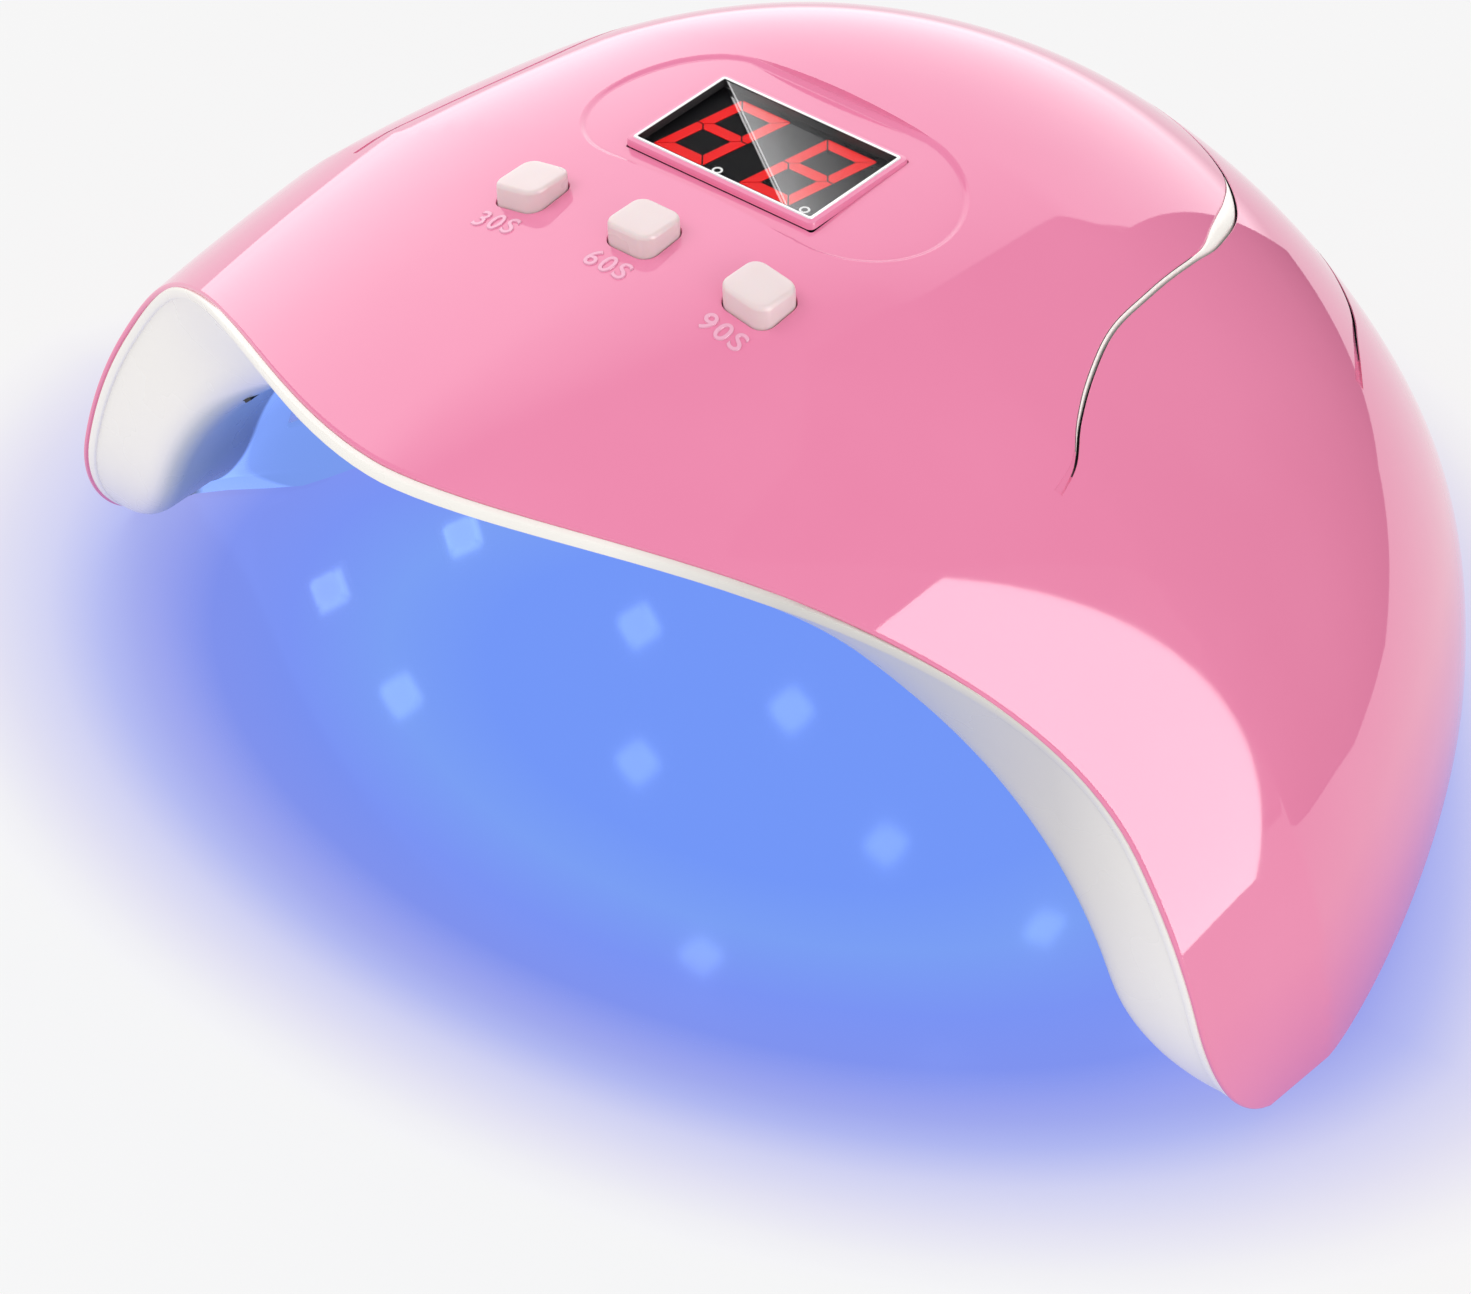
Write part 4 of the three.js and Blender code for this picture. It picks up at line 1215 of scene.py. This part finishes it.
def make_digits():
    base, roof = BOARD_TOP + GAP, LENS_TOP - LENS_THICK - GAP
    rings = [(0.8, base), (0.8, roof - 0.3), (0.6, roof)]
    body = block(DISPLAY_WIDTH, DISPLAY_DEPTH, 0.5, 3, rings, 0, DISPLAY_Y)
    add_piece("digit_block", [body], 30, MODULE, replaces=["display_module"])

    parts = []
    levels = (roof - 0.1, roof + DIGIT_PROUD)
    for centre in DIGIT_CENTRES:
        for outline in digit_bars():
            shifted = outline + [centre, DIGIT_Y]
            parts.append(loft([flat_ring(shifted, z, 0, DISPLAY_Y) for z in levels]))
    place("lit_digits", build_mesh("lit_digits", parts, smooth=False), SEGMENT)

    parts = []
    for x, y in POINT_SPOTS:
        profile = [(0.45, 0.0), (0.75, 0.0), (0.75, 0.06), (0.45, 0.06)]
        parts.append(hoop([flat_ring(circle(r, 24), roof + z, x, DISPLAY_Y + y) for r, z in profile]))
    add_piece("unlit_points", parts, 32, POINT)


# ---------- socket, screws, feet ----------
def make_jack():
    nose_profile = [
        (4.2, 78), (4.2, JACK_BACK - 0.5), (4.05, JACK_BACK - 0.15), (3.8, JACK_BACK), (3.5, JACK_BACK),
        (3.25, JACK_BACK - 0.25), (3.2, JACK_BACK - 0.6), (3.2, JACK_BACK - 9.5), (2.0, JACK_BACK - 9.5),
        (2.0, 76)]
    pin_profile = [
        (1.0, JACK_BACK - 10.5), (1.0, JACK_BACK - 5.0), (0.8, JACK_BACK - 4.55), (0.4, JACK_BACK - 4.4)]
    nose = hoop([upright_ring(circle(radius, 40), y) for radius, y in nose_profile])
    pin = loft([upright_ring(circle(radius, 20), y) for radius, y in pin_profile])
    rows = []
    for y, grow in [(73.6, -0.4), (74.0, 0.0), (82.9, 0.0), (83.3, -0.4)]:
        rows.append(upright_ring(rounded_outline(14 + 2 * grow, 12 + 2 * grow, 0.8, 4), y))
    add_piece("power_socket_body", [loft(rows), nose], 35, BLACK, replaces=["dc_jack"])
    add_piece("power_socket_pin", [pin], 35, STEEL)


def make_fixings():
    under = FLANGE_Z - GAP
    for index, (x, y) in enumerate(CASE_POSTS):
        name = "case_screw_%d" % (index + 1)
        profile = [(0.9, under + 9), (1.4, under + 8.2), (1.4, under - 0.02), (2.7, under - 0.02),
                   (2.7, under - 0.9), (2.5, under - 1.3), (2.1, under - 1.5), (1.2, under - 1.5)]
        arms = []
        for wide, deep in ((3.0, 0.62), (0.62, 3.0)):
            arms.append(block(wide, deep, 0.2, 2, [(0, under - 3), (0, under - 0.7)], x, y))
        mesh = subtract(build_mesh(name, [lathe(profile, x, y)]), arms)
        place("machine_screw_%d" % (index + 1), soften(mesh, 35), STEEL, replaces=[name])
    for index, (x, y) in enumerate(PADS):
        name = "rubber_foot_%d" % (index + 1)
        profile = [(4.8, under), (4.8, 0.7), (4.65, 0.25), (4.3, 0.0), (3.4, 0.0), (3.1, 0.18), (2.8, 0.2)]
        pad = lathe(profile, x, y, 40)
        add_piece("foot_pad_%d" % (index + 1), [pad], 35, RUBBER, replaces=[name])


def finish_cad_nodes():
    """The small parts inside keep their CAD shape and take a proper material."""
    looks = {"control_board": BOARD, "tact_switch": BLACK, "board_screw": STEEL, "led_strip": STRIP,
             "ir_sensor": BLACK, "jack_lead": BLACK, "lead_connector": CONNECTOR}
    for name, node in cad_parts.items():
        for start, material in looks.items():
            if name.startswith(start):
                node.data.materials.clear()
                node.data.materials.append(material)


# ---------- table and lights ----------
# The glow and the lights are in metres; the table's slab is in millimetres, as the lamp is.
TABLE_SIDE = 4000
TABLE_CORNER = 100
TABLE_THICK = 12
TABLE_BEVEL = 0.5
# The table's emission: a painted pool of the lamps' blue light under and in front of the mouth, fading to an
# even pale glow that keeps the floor evenly bright.
GLOW_SPAN = (0.0, 2.0)
GLOW_CENTRE_Y = -0.020
GLOW_SIDE = 0.115
GLOW_NARROWS = 0.35
GLOW_AHEAD = 0.078
GLOW_BEHIND = 0.100
GLOW_RAMP = [
    (0.40, (0.160, 0.290, 0.885)),
    (0.54, (0.185, 0.325, 0.860)),
    (0.68, (0.185, 0.275, 0.855)),
    (0.79, (0.205, 0.275, 0.825)),
    (0.87, (0.310, 0.355, 0.835)),
    (0.95, (0.400, 0.440, 0.835)),
    (1.03, (0.560, 0.570, 0.815)),
    (1.12, (0.655, 0.645, 0.775)),
    (1.20, (0.715, 0.710, 0.745)),
    (1.28, (0.730, 0.730, 0.730)),
]
TABLE_BASE = greys([(0.90, 0.0), (1.25, 0.20)])
TABLE_GLOSS = greys([(0.70, 0.5), (1.10, 0.0)])
TABLE_ROUGHNESS = greys([(0.70, 0.09), (1.10, 0.7)])
WORLD_LIGHT = 0.80
WORLD_REFLECTED = 0.17
SOFTBOX_LEVELS = [(0, 1), (0.55, 1), (0.95, 0.1), (1, 0.1)]
SHEEN_LEVELS = [(0, 0.45), (0.35, 1), (1, 1)]
EVEN_LEVELS = [(0, 1), (1, 1)]
CARD_ROWS = 24
# Name, centre, target, size and watts.
LIGHTS = [
    ("key_left_top", (-0.7, -0.5, 1.2), (0, 0, 0.04), (0.9, 0.9), 4.5),
    ("fill_right", (0.95, -0.35, 0.42), (0.06, 0, 0.04), (0.7, 0.4), 1.5),
]
# Name, foot, head, strength and levels.
CARDS = [
    ("softbox_back_left", [(0.044, 0.833, 0.002), (-0.747, 0.065, 0.002)],
     [(0.044, 0.833, 1.30), (-0.747, 0.065, 1.30)], 2.1, SOFTBOX_LEVELS),
    ("table_sheen_back", [(0.0, 0.290, 0.003), (-0.25, 0.20, 0.003)],
     [(0.044, 0.830, 0.003), (-0.747, 0.062, 0.003)], 2.0, SHEEN_LEVELS),
    ("strip_right", [(0.350, 0.138, 0.002), (0.350, -0.060, 0.002)],
     [(0.350, 0.196, 0.650), (0.350, 0.050, 0.690)], 7.4, EVEN_LEVELS),
]
# The unlit cards: a folding wall whose first edge moves with its height.
FLAG_WALL = [(0.071, 0.174), (0.103, 0.099), (0.125, 0.081), (0.170, 0.098), (0.352, 0.207)]
FLAG_EDGE = [(-0.018, 0.250, 0.002), (0.046, 0.205, 0.20), (-0.059, 0.250, 0.70)]


def make_table():
    """A pale table that stays evenly bright, with a painted pool of the lamps' blue light under and in front
    of the mouth.
    """
    rings = [(0, -TABLE_THICK), (0, -TABLE_BEVEL), (-TABLE_BEVEL, 0)]
    slab = block(TABLE_SIDE, TABLE_SIDE, TABLE_CORNER, 8, rings)
    mesh = build_mesh("table", [slab], smooth=False)
    material, tree, shader, where = new_material("pale_table")
    x = axis_value(tree, where, "X")
    shift = math_node(tree, "SUBTRACT", axis_value(tree, where, "Y"), GLOW_CENTRE_Y)
    behind = math_node(tree, "MAXIMUM", shift, 0.0)
    ahead = math_node(tree, "MINIMUM", shift, 0.0)
    side_reach = math_node(tree, "SUBTRACT", GLOW_SIDE, math_node(tree, "MULTIPLY", behind, GLOW_NARROWS))
    squares = []
    for value, reach in ((x, side_reach), (ahead, GLOW_AHEAD), (behind, GLOW_BEHIND)):
        squares.append(math_node(tree, "POWER", math_node(tree, "DIVIDE", value, reach), 2.0))
    total = math_node(tree, "ADD", math_node(tree, "ADD", squares[0], squares[1]), squares[2])
    distance = math_node(tree, "SQRT", total)
    for socket, stops in (("Emission Color", GLOW_RAMP), ("Base Color", TABLE_BASE),
                          ("Specular IOR Level", TABLE_GLOSS), ("Roughness", TABLE_ROUGHNESS)):
        tree.links.new(steps_of(tree, distance, GLOW_SPAN, stops), shader.inputs[socket])
    set_inputs(tree, shader, Emission_Strength=1.0)
    mesh.materials.append(material)
    link("table", mesh)


def card(name, foot, head, strength, level):
    """A card that only reflections see, from a polyline at its foot up to one at its head.

    level gives the brightness as (share of the height, share of the strength) stops.
    """
    foot, head = np.array(foot, float), np.array(head, float)
    heights = np.linspace(0, 1, CARD_ROWS + 1)
    points = np.array([foot + (head - foot) * t for t in heights])
    mesh = bpy.data.meshes.new(name)
    mesh.from_pydata(points.reshape(-1, 3).tolist(), [], grid_faces(CARD_ROWS, len(foot) - 1))
    shares, levels = zip(*level)
    bright = np.interp(np.repeat(heights, len(foot)), shares, levels)
    mesh.attributes.new("level", "FLOAT", "POINT").data.foreach_set("value", bright * strength)
    material, tree = empty_material(name)
    value = add_node(tree, "Attribute")
    value.attribute_name = "level"
    light = add_node(tree, "Emission", Strength=value.outputs["Fac"])
    add_node(tree, "OutputMaterial", Surface=light.outputs["Emission"])
    mesh.materials.append(material)
    piece = link(name, mesh)
    piece.visible_camera = False
    piece.visible_diffuse = False
    piece.visible_shadow = False
    piece.visible_transmission = False


def area_light(name, centre, target, size, watts):
    """A lamp that lights the scene but doesn't show in reflections."""
    data = bpy.data.lights.new(name, "AREA")
    data.shape = "RECTANGLE"
    data.size, data.size_y = size
    data.energy = watts
    lamp = link(name, data)
    lamp.location = centre
    lamp.rotation_euler = (Vector(target) - Vector(centre)).to_track_quat("-Z", "Y").to_euler()
    lamp.visible_glossy = False
    lamp.visible_camera = False


def make_lights():
    world = bpy.data.worlds.new("studio")
    world.use_nodes = True
    bpy.context.scene.world = world
    tree = world.node_tree
    tree.nodes.clear()
    glossy = add_node(tree, "LightPath").outputs["Is Glossy Ray"]
    level = add_node(tree, "MapRange", Value=glossy, To_Min=WORLD_LIGHT, To_Max=WORLD_REFLECTED)
    sky = add_node(tree, "Background", Color=(1, 1, 1, 1), Strength=level.outputs["Result"])
    add_node(tree, "OutputWorld", Surface=sky.outputs["Background"])

    for light in LIGHTS:
        area_light(*light)
    for piece in CARDS:
        card(*piece)
    for name, low, high in zip(("dark_flag_low", "dark_flag_high"), FLAG_EDGE[:-1], FLAG_EDGE[1:]):
        foot = [low] + [(x, y, low[2]) for x, y in FLAG_WALL]
        head = [high] + [(x, y, high[2]) for x, y in FLAG_WALL]
        card(name, foot, head, 0.0, EVEN_LEVELS)


# ---------- camera ----------
CAMERA_AIM = (0.005142, -0.0327, 0.021986)
CAMERA_DISTANCE = 0.92923
CAMERA_AZIMUTH = 42.447
CAMERA_ELEVATION = 37.944
CAMERA_ROLL = -2.128
CAMERA_LENS = 167.43


def make_camera():
    turn, rise, roll = (math.radians(v) for v in (CAMERA_AZIMUTH, CAMERA_ELEVATION, CAMERA_ROLL))
    back = Vector((math.sin(turn) * math.cos(rise), -math.cos(turn) * math.cos(rise), math.sin(rise)))
    level = Vector((math.cos(turn), math.sin(turn), 0))
    up = back.cross(level)
    right = math.cos(roll) * level + math.sin(roll) * up
    top = -math.sin(roll) * level + math.cos(roll) * up
    data = bpy.data.cameras.new("camera")
    data.lens = CAMERA_LENS
    data.sensor_width = 36.0
    data.clip_start = 0.01
    data.clip_end = 50.0
    camera = link("camera", data)
    matrix = Matrix((right, top, back)).transposed().to_4x4()
    matrix.translation = Vector(CAMERA_AIM) + back * CAMERA_DISTANCE
    camera.matrix_world = matrix
    bpy.context.scene.camera = camera


make_shell()
make_liner()
make_lamps()
make_keys()
make_labels()
make_window()
make_bezel()
make_digits()
make_jack()
make_fixings()
finish_cad_nodes()
make_table()
make_lights()
make_camera()
bpy.context.scene.view_settings.view_transform = "Standard"
